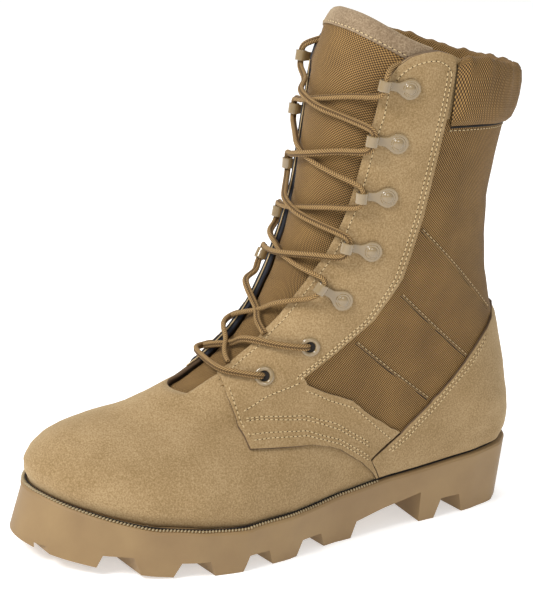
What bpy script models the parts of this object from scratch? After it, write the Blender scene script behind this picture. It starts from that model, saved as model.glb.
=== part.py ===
"""Left jungle boot: lugged sole, hollow upper, suede overlays, tongue, hooks, eyelets and lace.

Frame: toe along -Y, heel along +Y, the outer (left) side along +X, +Z up, ground at z = 0.
Lengths are in millimetres and are turned to metres where an object is made.
"""

import bisect
import functools
import math

import bmesh
import bpy
import numpy as np
from mathutils import Vector

MM = 0.001

# Driving dimensions
LENGTH = 305.0  # sole, toe to heel
HEEL_Y = 152.5  # back of the heel
MIDDLE_X = 1.774  # brings the origin under the middle of the sole
GAP = 0.3  # between pieces that meet
WALL = 2.4  # upper wall, with its lining
OVERLAY = 1.5  # suede laid over the wall
TOE_SPRING = 11.0
SPRING_START = 215.0  # distance from the heel where the sole starts to rise
INSOLE = 3.0
TONGUE = 3.0
SIDE = 20  # columns from the back seam to the front, on one side
SLOT_COLUMN = 17  # column that runs along the edge of the throat
THROAT_RING = 10  # ring at the foot of the throat
LACE_R = 1.7
LACE_SIDES = 6
SLOPE = 9.0  # width over which a lace comes down from the suede to the tongue

# Sole outline: distance from the heel's back, half width, centre line towards the outer side
SOLE_ROWS = (
    (0.0, 0.0, 0.0),
    (4.0, 16.5, -0.2),
    (14.0, 27.8, -0.6),
    (35.0, 35.8, -1.5),
    (65.0, 39.4, -1.5),
    (100.0, 38.6, 1.5),
    (135.0, 40.4, 4.5),
    (170.0, 47.6, 6.5),
    (200.0, 53.4, 5.0),
    (225.0, 55.4, 1.6),
    (250.0, 52.4, -3.0),
    (272.0, 43.4, -6.2),
    (290.0, 30.5, -8.4),
    (301.0, 14.8, -9.6),
    (305.0, 0.0, -10.0),
)

# Height of the sole's top edge, by distance from the heel's back
TOP_ROWS = (
    (0.0, 39.5),
    (50.0, 36.5),
    (100.0, 32.6),
    (150.0, 27.6),
    (200.0, 25.4),
    (250.0, 28.4),
    (305.0, 39.0),
)

# Rings of the upper, bottom to top
RING_ROWS = (
    # z, share of the sole's rise, share of the sole's plan, inset, back, front,
    # rounding of the back and front, half widths at heel, waist and ball, front shift, rise of the rim
    (30.5, 1.0, 1.0, 5.0, 147.5, -145.5, 38.0, 60.0, 37.0, 37.0, 52.0, -9.5, 0.0),
    (36.5, 1.0, 1.0, 3.2, 150.0, -148.5, 38.0, 60.0, 38.0, 38.0, 52.0, -9.5, 0.0),
    (43.0, 0.85, 1.0, 2.8, 150.6, -149.0, 38.0, 60.0, 38.0, 38.0, 52.0, -9.5, 0.0),
    (50.0, 0.6, 0.8, 3.0, 150.3, -146.3, 38.0, 62.0, 37.5, 38.0, 47.0, -9.5, 0.0),
    (57.0, 0.3, 0.5, 4.0, 149.5, -141.5, 39.0, 66.0, 37.0, 38.0, 43.5, -9.5, 0.0),
    (63.0, 0.12, 0.25, 5.0, 148.7, -136.0, 40.0, 78.0, 37.0, 38.0, 38.5, -9.0, 0.0),
    (68.0, 0.0, 0.1, 5.0, 147.7, -127.5, 40.0, 88.0, 37.0, 38.0, 34.0, -8.5, 0.0),
    (71.2, 0.0, 0.0, 5.0, 146.8, -117.0, 41.0, 90.0, 37.0, 38.0, 31.0, -8.0, 0.0),
    (74.4, 0.0, 0.0, 5.0, 146.0, -103.0, 42.0, 84.0, 37.0, 37.8, 30.0, -7.0, 0.0),
    (79.6, 0.0, 0.0, 5.0, 144.9, -87.0, 43.0, 78.0, 37.0, 37.6, 30.5, -6.0, 0.0),
    (86.8, 0.0, 0.0, 5.0, 143.3, -69.0, 44.0, 70.0, 37.2, 37.6, 31.0, -4.5, 0.0),
    (97.0, 0.0, 0.0, 5.0, 140.2, -52.0, 46.0, 64.0, 37.4, 37.6, 32.0, -3.0, 0.0),
    (110.0, 0.0, 0.0, 5.0, 136.3, -36.0, 48.0, 60.0, 37.6, 38.0, 34.0, -1.5, 0.0),
    (126.0, 0.0, 0.0, 5.0, 130.5, -23.0, 50.0, 58.0, 38.0, 39.0, 36.5, -0.5, 0.0),
    (145.0, 0.0, 0.0, 5.0, 124.8, -13.0, 52.0, 57.0, 39.0, 41.0, 39.5, 0.0, 0.0),
    (167.0, 0.0, 0.0, 5.0, 121.2, -6.0, 54.0, 57.0, 40.5, 43.0, 42.0, 0.0, 0.0),
    (190.0, 0.0, 0.0, 5.0, 119.3, -1.5, 55.0, 57.0, 42.0, 44.5, 43.5, 0.0, 0.0),
    (214.0, 0.0, 0.0, 5.0, 121.5, 0.5, 56.0, 57.0, 43.5, 45.5, 45.0, 0.0, 0.0),
    (238.0, 0.0, 0.0, 5.0, 125.5, 2.0, 57.0, 57.0, 44.5, 46.5, 46.0, 0.0, 4.0),
    (261.0, 0.0, 0.0, 5.0, 128.5, 3.0, 58.0, 57.0, 45.5, 47.5, 47.0, 0.0, 11.0),
)

# Half width of the throat and its middle, by the height of the ring
THROAT_ROWS = (
    (30.0, 12.0, -9.0),
    (70.0, 12.0, -8.0),
    (86.0, 12.0, -5.0),
    (100.0, 13.0, -3.0),
    (120.0, 15.0, -1.0),
    (145.0, 20.0, 0.0),
    (162.0, 25.0, 0.0),
    (177.0, 28.0, 0.0),
    (205.0, 31.5, 0.0),
    (243.0, 35.5, 0.0),
    (262.0, 36.5, 0.0),
)


@functools.lru_cache(maxsize=None)
def knots(rows, column):
    """Places, values and slopes of one column."""
    xs = [r[0] for r in rows]
    ys = [r[column] for r in rows]
    slopes = np.gradient(np.array(ys, float), np.array(xs, float))
    return xs, ys, [float(v) for v in slopes]


def curve(rows, column, at):
    """Smooth value of one column at a place in the first column."""
    xs, ys, slopes = knots(rows, column)
    at = min(xs[-1], max(xs[0], at))
    k = min(len(xs) - 2, max(0, bisect.bisect_left(xs, at) - 1))
    width = xs[k + 1] - xs[k]
    t = (at - xs[k]) / width
    rise = (ys[k + 1] - ys[k]) / width
    a = slopes[k] - rise
    b = rise - slopes[k + 1]
    return ys[k] + t * width * rise + t * (1 - t) * width * (a * (1 - t) + b * -t)


# The outline rows by angle, so that the round ends stay round
OUTLINE = tuple((math.acos(1 - 2 * s / LENGTH), w, c) for s, w, c in SOLE_ROWS)
LEVELS = tuple((float(i), *row) for i, row in enumerate(RING_ROWS))
TOP_LEVEL = len(RING_ROWS) - 1.0


def sole_angle(s):
    return math.acos(min(1.0, max(-1.0, 1 - 2 * s / LENGTH)))


def sole_half(s):
    return max(0.0, curve(OUTLINE, 1, sole_angle(s)))


def sole_middle(s):
    return curve(OUTLINE, 2, sole_angle(s))


def sole_top(s):
    return curve(TOP_ROWS, 1, s)


def spring(s):
    return TOE_SPRING * max(0.0, (s - SPRING_START) / (LENGTH - SPRING_START)) ** 2


def end_round(distance, radius):
    t = 1 - min(1.0, max(0.0, distance / radius))
    return math.sqrt(1 - t * t)


@functools.lru_cache(maxsize=None)
def ring_values(level):
    return tuple(curve(LEVELS, c, level) for c in range(1, 14))


def ring_point(level, angle, side):
    """Point on the upper's outer face. The angle is 0 at the back seam and pi at the front."""
    z, rise, plan, inset, back, front, r_back, r_front, heel, waist, ball, shift, rim = ring_values(level)
    u = (1 - math.cos(angle)) / 2
    y = back - u * (back - front)
    s = u * LENGTH
    widths = ((0.0, heel), (0.15, heel), (0.38, waist), (0.72, ball), (1.0, ball))
    leg = curve(widths, 1, u) * end_round(back - y, r_back) * end_round(y - front, r_front)
    foot = sole_half(s) * (1 - inset / 55.0)
    half = plan * foot + (1 - plan) * leg
    middle = plan * sole_middle(s) + (1 - plan) * shift * u**3
    lift = rise * (sole_top(HEEL_Y - y) - 30.0) + rim * max(0.0, math.sin(math.pi * min(1.0, u / 0.9))) ** 2
    return np.array((middle + side * half, y, z + lift))


def ring_height(level):
    return curve(LEVELS, 1, level)


def angle_at_x(level, x, side):
    """Angle in front of the widest part where the ring comes in to x."""
    low = 1.9
    high = math.pi
    for _ in range(30):
        mid = (low + high) / 2
        if side * ring_point(level, mid, side)[0] > side * x:
            low = mid
        else:
            high = mid
    return (low + high) / 2


@functools.lru_cache(maxsize=None)
def throat_edge(level, side):
    z = ring_height(level)
    x = curve(THROAT_ROWS, 2, z) + side * curve(THROAT_ROWS, 1, z)
    return angle_at_x(level, x, side)


def surface(level, angle, side, out):
    """Point off the outer face by out, along the face's normal."""
    step = 0.02
    here = ring_point(level, angle, side)
    low = max(0.0, level - step)
    high = min(TOP_LEVEL, level + step)
    up = ring_point(high, angle, side) - ring_point(low, angle, side)
    a = ring_point(level, angle - step, side) if angle > step else ring_point(level, step - angle, -side)
    limit = math.pi - step
    if angle < limit:
        b = ring_point(level, angle + step, side)
    else:
        b = ring_point(level, 2 * math.pi - angle - step, -side)
    along = b - a
    normal = np.cross(up, along) * side
    normal /= np.linalg.norm(normal)
    return here + normal * out


def level_of(z):
    low = 0.0
    high = TOP_LEVEL
    for _ in range(30):
        mid = (low + high) / 2
        if ring_height(mid) < z:
            low = mid
        else:
            high = mid
    return (low + high) / 2


def ring_angles(level, side):
    """Angles of the columns from the back seam to the front, with one on the throat's edge."""
    edge = throat_edge(level, side)
    rear = [edge * (j / SLOT_COLUMN) ** 1.15 for j in range(SLOT_COLUMN + 1)]
    fore = SIDE - SLOT_COLUMN
    return rear + [edge + (math.pi - edge) * (j + 1) / fore for j in range(fore)]


def new_object(name, points, faces):
    """Object from points in millimetres, with its faces turned outwards."""
    mesh = bpy.data.meshes.new(name)
    mesh.from_pydata([((p[0] - MIDDLE_X) * MM, p[1] * MM, p[2] * MM) for p in points], [], faces)
    obj = bpy.data.objects.new(name, mesh)
    bpy.context.collection.objects.link(obj)
    bm = bmesh.new()
    bm.from_mesh(mesh)
    bmesh.ops.recalc_face_normals(bm, faces=bm.faces)
    if bm.calc_volume(signed=True) < 0:
        bmesh.ops.reverse_faces(bm, faces=bm.faces)
    bm.to_mesh(mesh)
    bm.free()
    return obj


def boolean(obj, others, how):
    """Join or cut with other objects, which are then removed."""
    for other in others:
        mod = obj.modifiers.new("step", "BOOLEAN")
        mod.operation = how
        mod.solver = "EXACT"
        mod.object = other
        depsgraph = bpy.context.evaluated_depsgraph_get()
        mesh = bpy.data.meshes.new_from_object(obj.evaluated_get(depsgraph))
        obj.modifiers.clear()
        old = obj.data
        obj.data = mesh
        bpy.data.meshes.remove(old)
        bpy.data.objects.remove(other, do_unlink=True)


def grid_solid(name, outer, inner):
    """Solid between two grids of the same size, closed round its four edges."""
    rows = len(outer)
    cols = len(outer[0])
    points = [p for row in outer for p in row] + [p for row in inner for p in row]
    half = rows * cols
    faces = []
    for i in range(rows - 1):
        for j in range(cols - 1):
            a = i * cols + j
            quad = (a, a + 1, a + cols + 1, a + cols)
            faces.append(quad)
            faces.append(tuple(half + k for k in reversed(quad)))
    rim = [j for j in range(cols)]
    rim += [i * cols + cols - 1 for i in range(1, rows)]
    rim += [(rows - 1) * cols + j for j in range(cols - 2, -1, -1)]
    rim += [i * cols for i in range(rows - 2, 0, -1)]
    for k, a in enumerate(rim):
        b = rim[(k + 1) % len(rim)]
        faces.append((a, half + a, half + b, b))
    return new_object(name, points, faces)


def build_shell(name, faces_at, back):
    """Ring stack between two offsets of the outer face, open at collar, throat and underneath."""
    levels = SHELL_LEVELS
    outer = []
    inner = []
    for level in levels:
        left = ring_angles(level, 1)
        right = ring_angles(level, -1)
        ring = [(a, 1) for a in left] + [(a, -1) for a in reversed(right[1:-1])]
        outer.append([surface(level, a, side, faces_at(level)) for a, side in ring])
        inner.append([surface(level, a, side, back) for a, side in ring])
    count = len(outer[0])
    points = [p for row in outer for p in row] + [p for row in inner for p in row]
    half = len(levels) * count
    faces = []
    first = SLOT_COLUMN
    last = 2 * SIDE - SLOT_COLUMN
    for i in range(len(levels) - 1):
        for j in range(count):
            if i >= THROAT_RING and first <= j < last:
                continue
            k = (j + 1) % count
            a, b, c, d = (i * count + j, i * count + k, (i + 1) * count + k, (i + 1) * count + j)
            for tri in ((a, b, c), (a, c, d)):
                faces.append(tri)
                faces.append(tuple(half + v for v in reversed(tri)))
    top = len(levels) - 1
    rims = [(j, (j + 1) % count) for j in range(count)]
    rims += [(top * count + j, top * count + (j + 1) % count) for j in range(count) if not first <= j < last]
    rims += [(THROAT_RING * count + j, THROAT_RING * count + j + 1) for j in range(first, last)]
    for column in (first, last):
        rims += [(i * count + column, (i + 1) * count + column) for i in range(THROAT_RING, top)]
    for a, b in rims:
        faces.append((a, b, half + b, half + a))
    return new_object(name, points, faces)


def prism(profile, low, high):
    """Cutter with a side-view outline, between two places across the boot."""
    points = [(x, y, z) for x in (low, high) for y, z in profile]
    count = len(profile)
    faces = [tuple(range(count)), tuple(range(2 * count - 1, count - 1, -1))]
    faces += [(i, count + i, count + (i + 1) % count, (i + 1) % count) for i in range(count)]
    return new_object("cutter", points, faces)


SHELL_LEVELS = [float(i) for i in range(18)] + [17.8, 18.2, 18.6, 19.0]


def bare(level):
    return 0.0


def suede(level):
    return GAP + OVERLAY


def padded(level):
    """Outer face of the cuff, rounded in at its foot and at the rim."""
    return GAP + curve(CUFF_ROWS, 1, level)


# Side-view outline of the quarter with its eyestay: y, z
QUARTER_EDGE = (
    (-41.5, 63.2),
    (-29.0, 64.0),
    (-4.6, 62.9),
    (15.3, 56.2),
    (29.6, 47.2),
    (33.2, 45.6),
    (45.4, 52.6),
    (53.4, 57.4),
    (38.8, 70.3),
    (25.1, 81.7),
    (10.3, 87.2),
    (-3.0, 93.2),
    (-4.8, 96.1),
    (16.3, 114.7),
    (32.0, 129.7),
    (45.5, 153.6),
    (52.8, 187.7),
    (56.8, 219.3),
    (60.8, 247.5),
    (62.6, 266.0),
    (57.0, 275.0),
    (36.0, 275.0),
    (29.0, 269.0),
    (24.5, 259.0),
    (-80.0, 259.0),
    (-80.0, 101.0),
    (-52.0, 99.0),
    (-46.8, 95.0),
    (-46.0, 88.0),
)

# Side-view outline of the counter
COUNTER_EDGE = (
    (44.6, 33.2),
    (41.9, 37.5),
    (36.0, 46.6),
    (46.2, 51.9),
    (56.6, 58.4),
    (76.0, 77.0),
    (97.9, 100.8),
    (112.0, 114.7),
    (126.6, 119.9),
    (170.0, 121.5),
    (170.0, 41.2),
    (105.0, 37.9),
    (75.0, 35.6),
)

# Side-view outline of the padded cuff
CUFF_EDGE = ((64.6, 240.8), (85.0, 237.5), (110.0, 233.5), (170.0, 233.0), (170.0, 300.0), (64.6, 300.0))

# Cuff: level and thickness
CUFF_ROWS = ((0.0, 2.0), (17.0, 2.0), (17.8, 2.8), (18.2, 4.5), (18.6, 4.7), (19.0, 2.6))

# Hooks, top to bottom: level and angle of the rivet, then the tip's distance out, y and z
HOOK_ROWS = (
    (18.75, 2.03, 40.5, 17.7, 261.0),
    (17.6, 2.05, 36.0, 17.3, 231.0),
    (16.4, 2.05, 31.3, 15.8, 200.0),
    (15.1, 2.09, 27.6, 13.4, 172.0),
    (13.8, 2.21, 23.6, 1.9, 149.0),
)
EYELET_ROWS = ((12.3, 2.27), (11.1, 2.41))
ON_OVERLAY = GAP + OVERLAY + GAP

# Tongue: height, half width, lean towards the heel
TONGUE_ROWS = (
    (80.0, 14.0, 1.5),
    (100.0, 18.0, 0.6),
    (145.0, 27.0, 0.0),
    (177.0, 35.0, 0.0),
    (205.0, 38.0, 0.0),
    (240.0, 40.0, 0.5),
    (262.0, 40.0, 3.0),
    (280.0, 38.0, 9.0),
    (294.0, 36.0, 19.0),
)
TONGUE_SEAT = WALL + GAP + 1.1  # front face of the tongue below the upper's outer face
TONGUE_FOOT = 82.0
TONGUE_TOP = 293.0
TONGUE_DROP = 17.0  # how far the top corners sit below the middle


def tongue_point(across, z, out):
    """Point off the tongue's front face. Across runs from -1 to 1, towards the outer side."""
    level = level_of(min(z, 261.0))
    half = curve(TONGUE_ROWS, 1, z)
    middle = curve(THROAT_ROWS, 2, z)
    side = 1 if across >= 0 else -1
    angle = angle_at_x(level, middle + across * half, side)
    p = surface(level, angle, side, out - TONGUE_SEAT)
    rim = ring_point(level, angle, side)[2] - ring_height(level)
    p[2] += z - min(z, 261.0) - rim
    p[1] += curve(TONGUE_ROWS, 2, z)
    return p


def tongue_rows(low, high, steps, out):
    """Rows of the tongue between two shares of its height."""
    rows = []
    for i in range(steps + 1):
        share = low + (high - low) * i / steps
        row = []
        for j in range(-6, 7):
            across = j / 6
            top = TONGUE_TOP - TONGUE_DROP * abs(across) ** 2.4
            row.append(tongue_point(across, TONGUE_FOOT + share * (top - TONGUE_FOOT), out))
        rows.append(row)
    return rows


def build_tongue():
    return grid_solid("tongue", tongue_rows(0.0, 1.0, 13, 0.0), tongue_rows(0.0, 1.0, 13, -TONGUE))


def build_binding():
    outer = tongue_rows(0.958, 0.998, 1, GAP + 1.6)
    inner = tongue_rows(0.958, 0.998, 1, GAP + 0.4)
    return grid_solid("tongue_binding", outer, inner)


def outline_point(angle, side, out):
    """Point of the sole's outline, moved off it by out."""
    step = 0.01

    def at(a):
        turned = side
        if a < 0:
            a = -a
            turned = -side
        if a > math.pi:
            a = 2 * math.pi - a
            turned = -side
        s = LENGTH * (1 - math.cos(a)) / 2
        return Vector((sole_middle(s) + turned * sole_half(s), HEEL_Y - s))

    along = at(angle + step) - at(angle - step)
    normal = Vector((-along.y, along.x)).normalized() * side
    return at(angle) + normal * out


def build_sole():
    # Side of the sole, top to bottom: drop below the top edge, or height over the ground, and step in
    side_rows = (("drop", 0.0, -1.6), ("drop", 1.8, 0.0), ("drop", 5.0, -0.3), ("ground", 0.0, -2.0))
    steps = 34
    points = []
    for i in range(steps + 1):
        angle = math.pi * i / steps
        s = LENGTH * (1 - math.cos(angle)) / 2
        for side in (1, -1):
            for kind, value, out in side_rows:
                p = outline_point(angle, side, out)
                z = sole_top(s) - value if kind == "drop" else spring(s)
                points.append((p.x, p.y, z))
    rows = len(side_rows)
    ring = 2 * rows
    faces = []
    for i in range(steps):
        a = i * ring
        b = a + ring
        for k in range(rows - 1):
            faces.append((a + k, a + k + 1, b + k + 1, b + k))
            faces.append((a + rows + k, a + rows + k + 1, b + rows + k + 1, b + rows + k))
        faces.append((a, b, b + rows, a + rows))
        faces.append((a + rows - 1, b + rows - 1, b + ring - 1, a + ring - 1))
    sole = new_object("sole", points, faces)
    bm = bmesh.new()
    bm.from_mesh(sole.data)
    bmesh.ops.remove_doubles(bm, verts=bm.verts, dist=0.00001)
    bmesh.ops.recalc_face_normals(bm, faces=bm.faces)
    bm.to_mesh(sole.data)
    bm.free()
    cutters = [wedge(*row) for row in GAP_ROWS]
    cutters.append(arch_cutter())
    cutters.append(groove_cutter())
    boolean(sole, cutters, "DIFFERENCE")
    return sole


# Gaps between lugs: distance from the heel of both edges at the ground, depth, side
GAP_ROWS = tuple(
    (start, end, depth, side)
    for start, end, depth in (
        (39.2, 60.4, 12.0),
        (141.8, 163.9, 9.0),
        (181.0, 201.3, 9.0),
        (217.5, 239.8, 9.0),
        (255.3, 275.0, 9.0),
        (291.5, 296.5, 4.0),
    )
    for side in (1, -1)
)
LUG_SKEW = 9.0  # how far a gap's inner end lies towards the toe
GROOVE = 5.0  # half width of the groove along the middle


def wedge(start, end, depth, side):
    """Cutter for one gap between lugs, narrower at its roof."""
    middle = sole_middle((start + end) / 2)
    floor = spring((start + end) / 2)
    taper = (end - start) * 0.17
    points = []
    for x, skew in ((middle + side * (GROOVE - 1.0), LUG_SKEW), (side * 80.0, -4.0)):
        for z, inset in ((floor - 6.0, -taper * 0.6), (floor + depth, taper)):
            points.append((x, HEEL_Y - start - inset - skew, z))
            points.append((x, HEEL_Y - end + inset - skew, z))
    faces = [(0, 1, 3, 2), (4, 6, 7, 5), (0, 4, 5, 1), (2, 3, 7, 6), (0, 2, 6, 4), (1, 5, 7, 3)]
    return new_object("cutter", points, faces)


def arch_cutter():
    """Hollow under the waist, between the heel and the first lug."""
    profile = ((75.0, -5.0), (76.5, 19.5), (92.0, 17.5), (122.0, 10.0), (126.5, -5.0))
    points = [(x, HEEL_Y - s, z) for x in (-80.0, 80.0) for s, z in profile]
    count = len(profile)
    faces = [tuple(range(count)), tuple(range(2 * count - 1, count - 1, -1))]
    faces += [(i, count + i, count + (i + 1) % count, (i + 1) % count) for i in range(count)]
    return new_object("cutter", points, faces)


def groove_cutter():
    """Groove along the middle of the forefoot."""
    stations = (120.0, 160.0, 200.0, 230.0, 250.0, 268.0, 284.0)
    points = []
    for s in stations:
        for x, z in ((-GROOVE, -6.0), (GROOVE, -6.0), (GROOVE - 1.0, 5.0), (1.0 - GROOVE, 5.0)):
            points.append((sole_middle(s) + x, HEEL_Y - s, spring(s) + z))
    faces = [(0, 1, 2, 3), tuple(range(len(points) - 1, len(points) - 5, -1))]
    for i in range(len(stations) - 1):
        for k in range(4):
            n = (k + 1) % 4
            faces.append((4 * i + k, 4 * i + n, 4 * i + 4 + n, 4 * i + 4 + k))
    return new_object("cutter", points, faces)


def build_insole():
    points = []
    steps = 20
    for i in range(steps + 1):
        angle = math.pi * i / steps
        for side in (1, -1):
            p = surface(0.0, angle, side, -WALL - 1.4)
            s = HEEL_Y - p[1]
            for z in (GAP, GAP + INSOLE):
                points.append((p[0], p[1], sole_top(s) + z))
    faces = []
    for i in range(steps):
        a = 4 * i
        faces.append((a, a + 1, a + 5, a + 4))
        faces.append((a + 2, a + 3, a + 7, a + 6))
        faces.append((a + 1, a + 3, a + 7, a + 5))
        faces.append((a, a + 2, a + 6, a + 4))
    insole = new_object("insole", points, faces)
    bm = bmesh.new()
    bm.from_mesh(insole.data)
    bmesh.ops.remove_doubles(bm, verts=bm.verts, dist=0.00001)
    bmesh.ops.recalc_face_normals(bm, faces=bm.faces)
    bm.to_mesh(insole.data)
    bm.free()
    return insole


def build_quarter(side):
    piece = build_shell("quarter_outer" if side > 0 else "quarter_inner", suede, GAP)
    low, high = sorted((side * 1.0, side * 90.0))
    boolean(piece, [prism(QUARTER_EDGE, low, high)], "INTERSECT")
    return piece


def build_counter():
    piece = build_shell("counter", suede, GAP)
    boolean(piece, [prism(COUNTER_EDGE, -90.0, 90.0)], "INTERSECT")
    return piece


def build_cuff():
    piece = build_shell("cuff", padded, GAP)
    boolean(piece, [prism(CUFF_EDGE, -90.0, 90.0)], "INTERSECT")
    return piece


def frame_at(level, angle, side):
    """Seat on the suede and the outward normal there."""
    seat = surface(level, angle, side, ON_OVERLAY)
    normal = surface(level, angle, side, ON_OVERLAY + 1.0) - seat
    return seat, normal


def disc(seat, normal, rows, steps):
    """Turned piece about a normal: rows of height and radius, closed at both ends."""
    axis = Vector(normal).normalized()
    first = axis.orthogonal().normalized()
    second = axis.cross(first)
    points = []
    for height, radius in rows:
        for k in range(steps):
            turn = 2 * math.pi * k / steps
            across = first * math.cos(turn) + second * math.sin(turn)
            points.append(Vector(seat) + axis * height + across * radius)
    faces = []
    for i in range(len(rows) - 1):
        for k in range(steps):
            n = (k + 1) % steps
            faces.append((i * steps + k, i * steps + n, (i + 1) * steps + n, (i + 1) * steps + k))
    return points, faces


HOOK_TUBE = 4.1  # outer radius of the rolled end
HOOK_WALL = 0.9
HOOK_WIDTH = 7.0


def hook_frame(index, side):
    """Seat, forward, upward and outward directions of a hook, and the middle of its rolled end."""
    level, angle, out, y, z = HOOK_ROWS[index]
    seat, normal = frame_at(level, angle, side)
    seat = Vector(seat)
    normal = Vector(normal).normalized()
    forward = Vector((side * out, y, z)) - seat
    forward = (forward - normal * forward.dot(normal)).normalized()
    upward = normal.cross(forward) * (-side)
    if upward.z < 0:
        upward = -upward
    reach = 14.8
    return seat, forward, upward, normal, seat + forward * reach + normal * (HOOK_TUBE + 0.1)


def build_hook(index, side):
    seat, forward, upward, normal, middle = hook_frame(index, side)
    path = [(seat + normal * 1.1, seat + normal * 0.1)]
    for k in range(7):
        turn = math.radians(-90 + 38 * k)
        ray = forward * math.cos(turn) + normal * math.sin(turn)
        path.append((middle + ray * (HOOK_TUBE - HOOK_WALL), middle + ray * HOOK_TUBE))
    points = []
    for inner, outer in path:
        for p in (inner, outer):
            points.append(p + upward * HOOK_WIDTH / 2)
            points.append(p - upward * HOOK_WIDTH / 2)
    faces = [(0, 1, 3, 2)]
    for i in range(len(path) - 1):
        a = 4 * i
        for p, q in ((0, 1), (1, 3), (3, 2), (2, 0)):
            faces.append((a + p, a + q, a + 4 + q, a + 4 + p))
    a = 4 * (len(path) - 1)
    faces.append((a, a + 2, a + 3, a + 1))
    name = f"hook_{'outer' if side > 0 else 'inner'}_{index + 1}"
    hook = new_object(name, points, faces)
    rows = ((0.0, 5.3), (1.4, 5.2), (2.1, 3.4), (2.5, 1.2))
    rim, skin = disc(seat, normal, rows, 10)
    skin.append(tuple(range(10)))
    skin.append(tuple(range(30, 40)))
    boolean(hook, [new_object("cutter", rim, skin)], "UNION")
    return hook


def build_eyelet(index, side):
    level, angle = EYELET_ROWS[index]
    seat, normal = frame_at(level, angle, side)
    rows = ((0.0, 3.0), (0.0, 5.4), (0.7, 5.4), (1.2, 4.3), (0.8, 3.0))
    points, faces = disc(seat, normal, rows, 14)
    last = (len(rows) - 1) * 14
    for k in range(14):
        n = (k + 1) % 14
        faces.append((k, n, last + n, last + k))
    return new_object(f"eyelet_{'outer' if side > 0 else 'inner'}_{index + 1}", points, faces)


def tube(name, path, radius, sides):
    """Round cord along a path."""
    path = [Vector(p) for p in path]
    points = []
    up = None
    for i, p in enumerate(path):
        along = (path[min(i + 1, len(path) - 1)] - path[max(i - 1, 0)]).normalized()
        up = along.orthogonal().normalized() if up is None else (up - along * up.dot(along)).normalized()
        over = along.cross(up)
        for k in range(sides):
            turn = 2 * math.pi * k / sides
            points.append(p + up * radius * math.cos(turn) + over * radius * math.sin(turn))
    faces = [tuple(range(sides)), tuple(range(len(points) - sides, len(points)))]
    for i in range(len(path) - 1):
        for k in range(sides):
            n = (k + 1) % sides
            faces.append((i * sides + k, i * sides + n, (i + 1) * sides + n, (i + 1) * sides + k))
    return new_object(name, points, faces)


def over_front(x, z, lift):
    """Middle of a lace on the suede, coming down to the tongue over SLOPE from the throat's edge."""
    middle = curve(THROAT_ROWS, 2, z)
    side = 1 if x > middle else -1
    level = level_of(z)
    inside = curve(THROAT_ROWS, 1, z) - abs(x - middle)
    share = min(1.0, max(0.0, (inside - 2.5) / SLOPE))
    out = ON_OVERLAY * (1 - share) - TONGUE_SEAT * share + LACE_R + 1.0 + lift
    p = Vector(surface(level, angle_at_x(level, x, side), side, out))
    p.y += curve(TONGUE_ROWS, 2, z) * share
    return p


def span(start, end, lift):
    """Points of a lace between two places, lying on the boot's front in between."""
    points = []
    for t in (0.1, 0.22, 0.36, 0.5, 0.64, 0.78, 0.9):
        p = start.lerp(end, t)
        points.append(over_front(p.x * 0.92, p.z, lift if 0.3 < t < 0.7 else 0.0))
    return points


def on_suede(index, side, share):
    """Lace on the suede, a share of the way from an eyelet to the throat's edge."""
    level, angle = EYELET_ROWS[index]
    edge = throat_edge(level, side)
    return Vector(surface(level, angle + (edge - angle) * share, side, ON_OVERLAY + LACE_R + 0.9))


def build_laces():
    strands = []
    for first in (1, -1):
        side = first
        lift = 0.0 if first > 0 else LACE_R * 1.3
        _, _, upward, _, middle = hook_frame(4, side)
        begin = over_front(-side * 8.0, 124.0, 0.0)
        low = middle - upward * 5.5
        path = [begin, *span(begin, low, lift), low]
        for index in (4, 3, 2, 1, 0):
            _, _, upward, normal, middle = hook_frame(index, side)
            path += [middle, middle + upward * 5.5 + normal * 0.9]
            if index == 0:
                break
            side = -side
            _, _, upward, _, middle = hook_frame(index - 1, side)
            low = middle - upward * 5.5
            path += [*span(path[-1], low, lift), low]
        strands.append(tube("lace_hooks" if first > 0 else "cutter", path, LACE_R, LACE_SIDES))
    boolean(strands[0], [strands[1]], "UNION")
    laces = [strands[0]]
    strands = []
    for side in (1, -1):
        lift = 0.0 if side > 0 else LACE_R * 1.3
        start = on_suede(0, side, 0.45)
        edge = on_suede(0, side, 1.0)
        end = over_front(-2.5 - side * 6.0, 106.0, 0.0)
        path = [start, edge, *span(edge, end, lift)[2:-1], end]
        strands.append(tube("lace_upper_eyelets" if side > 0 else "cutter", path, LACE_R, LACE_SIDES))
    boolean(strands[0], [strands[1]], "UNION")
    laces.append(strands[0])
    path = [on_suede(1, 1, 0.5), on_suede(1, 1, 1.0)]
    path += [*reversed([on_suede(1, -1, 0.5), on_suede(1, -1, 1.0)])]
    laces.append(tube("lace_lower_bar", path, LACE_R, LACE_SIDES))
    return laces


MATERIAL_ROWS = {
    "rubber": ((0.33, 0.24, 0.14), 0.8, 0.0),
    "suede": ((0.42, 0.29, 0.17), 0.95, 0.0),
    "nylon": ((0.26, 0.16, 0.07), 0.85, 0.0),
    "lining": ((0.3, 0.2, 0.1), 0.95, 0.0),
    "lace_cord": ((0.33, 0.22, 0.11), 0.85, 0.0),
    "painted_metal": ((0.4, 0.3, 0.18), 0.45, 0.3),
    "binding": ((0.33, 0.24, 0.14), 0.9, 0.0),
}


def material(name):
    color, rough, metal = MATERIAL_ROWS[name]
    mat = bpy.data.materials.new(name)
    mat.use_nodes = True
    shader = mat.node_tree.nodes["Principled BSDF"]
    shader.inputs["Base Color"].default_value = (*color, 1.0)
    shader.inputs["Roughness"].default_value = rough
    shader.inputs["Metallic"].default_value = metal
    mat.diffuse_color = (*color, 1.0)
    return mat


def paint(objects, name):
    for obj in objects:
        mat = material(name)
        obj.data.materials.clear()
        obj.data.materials.append(mat)


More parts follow.
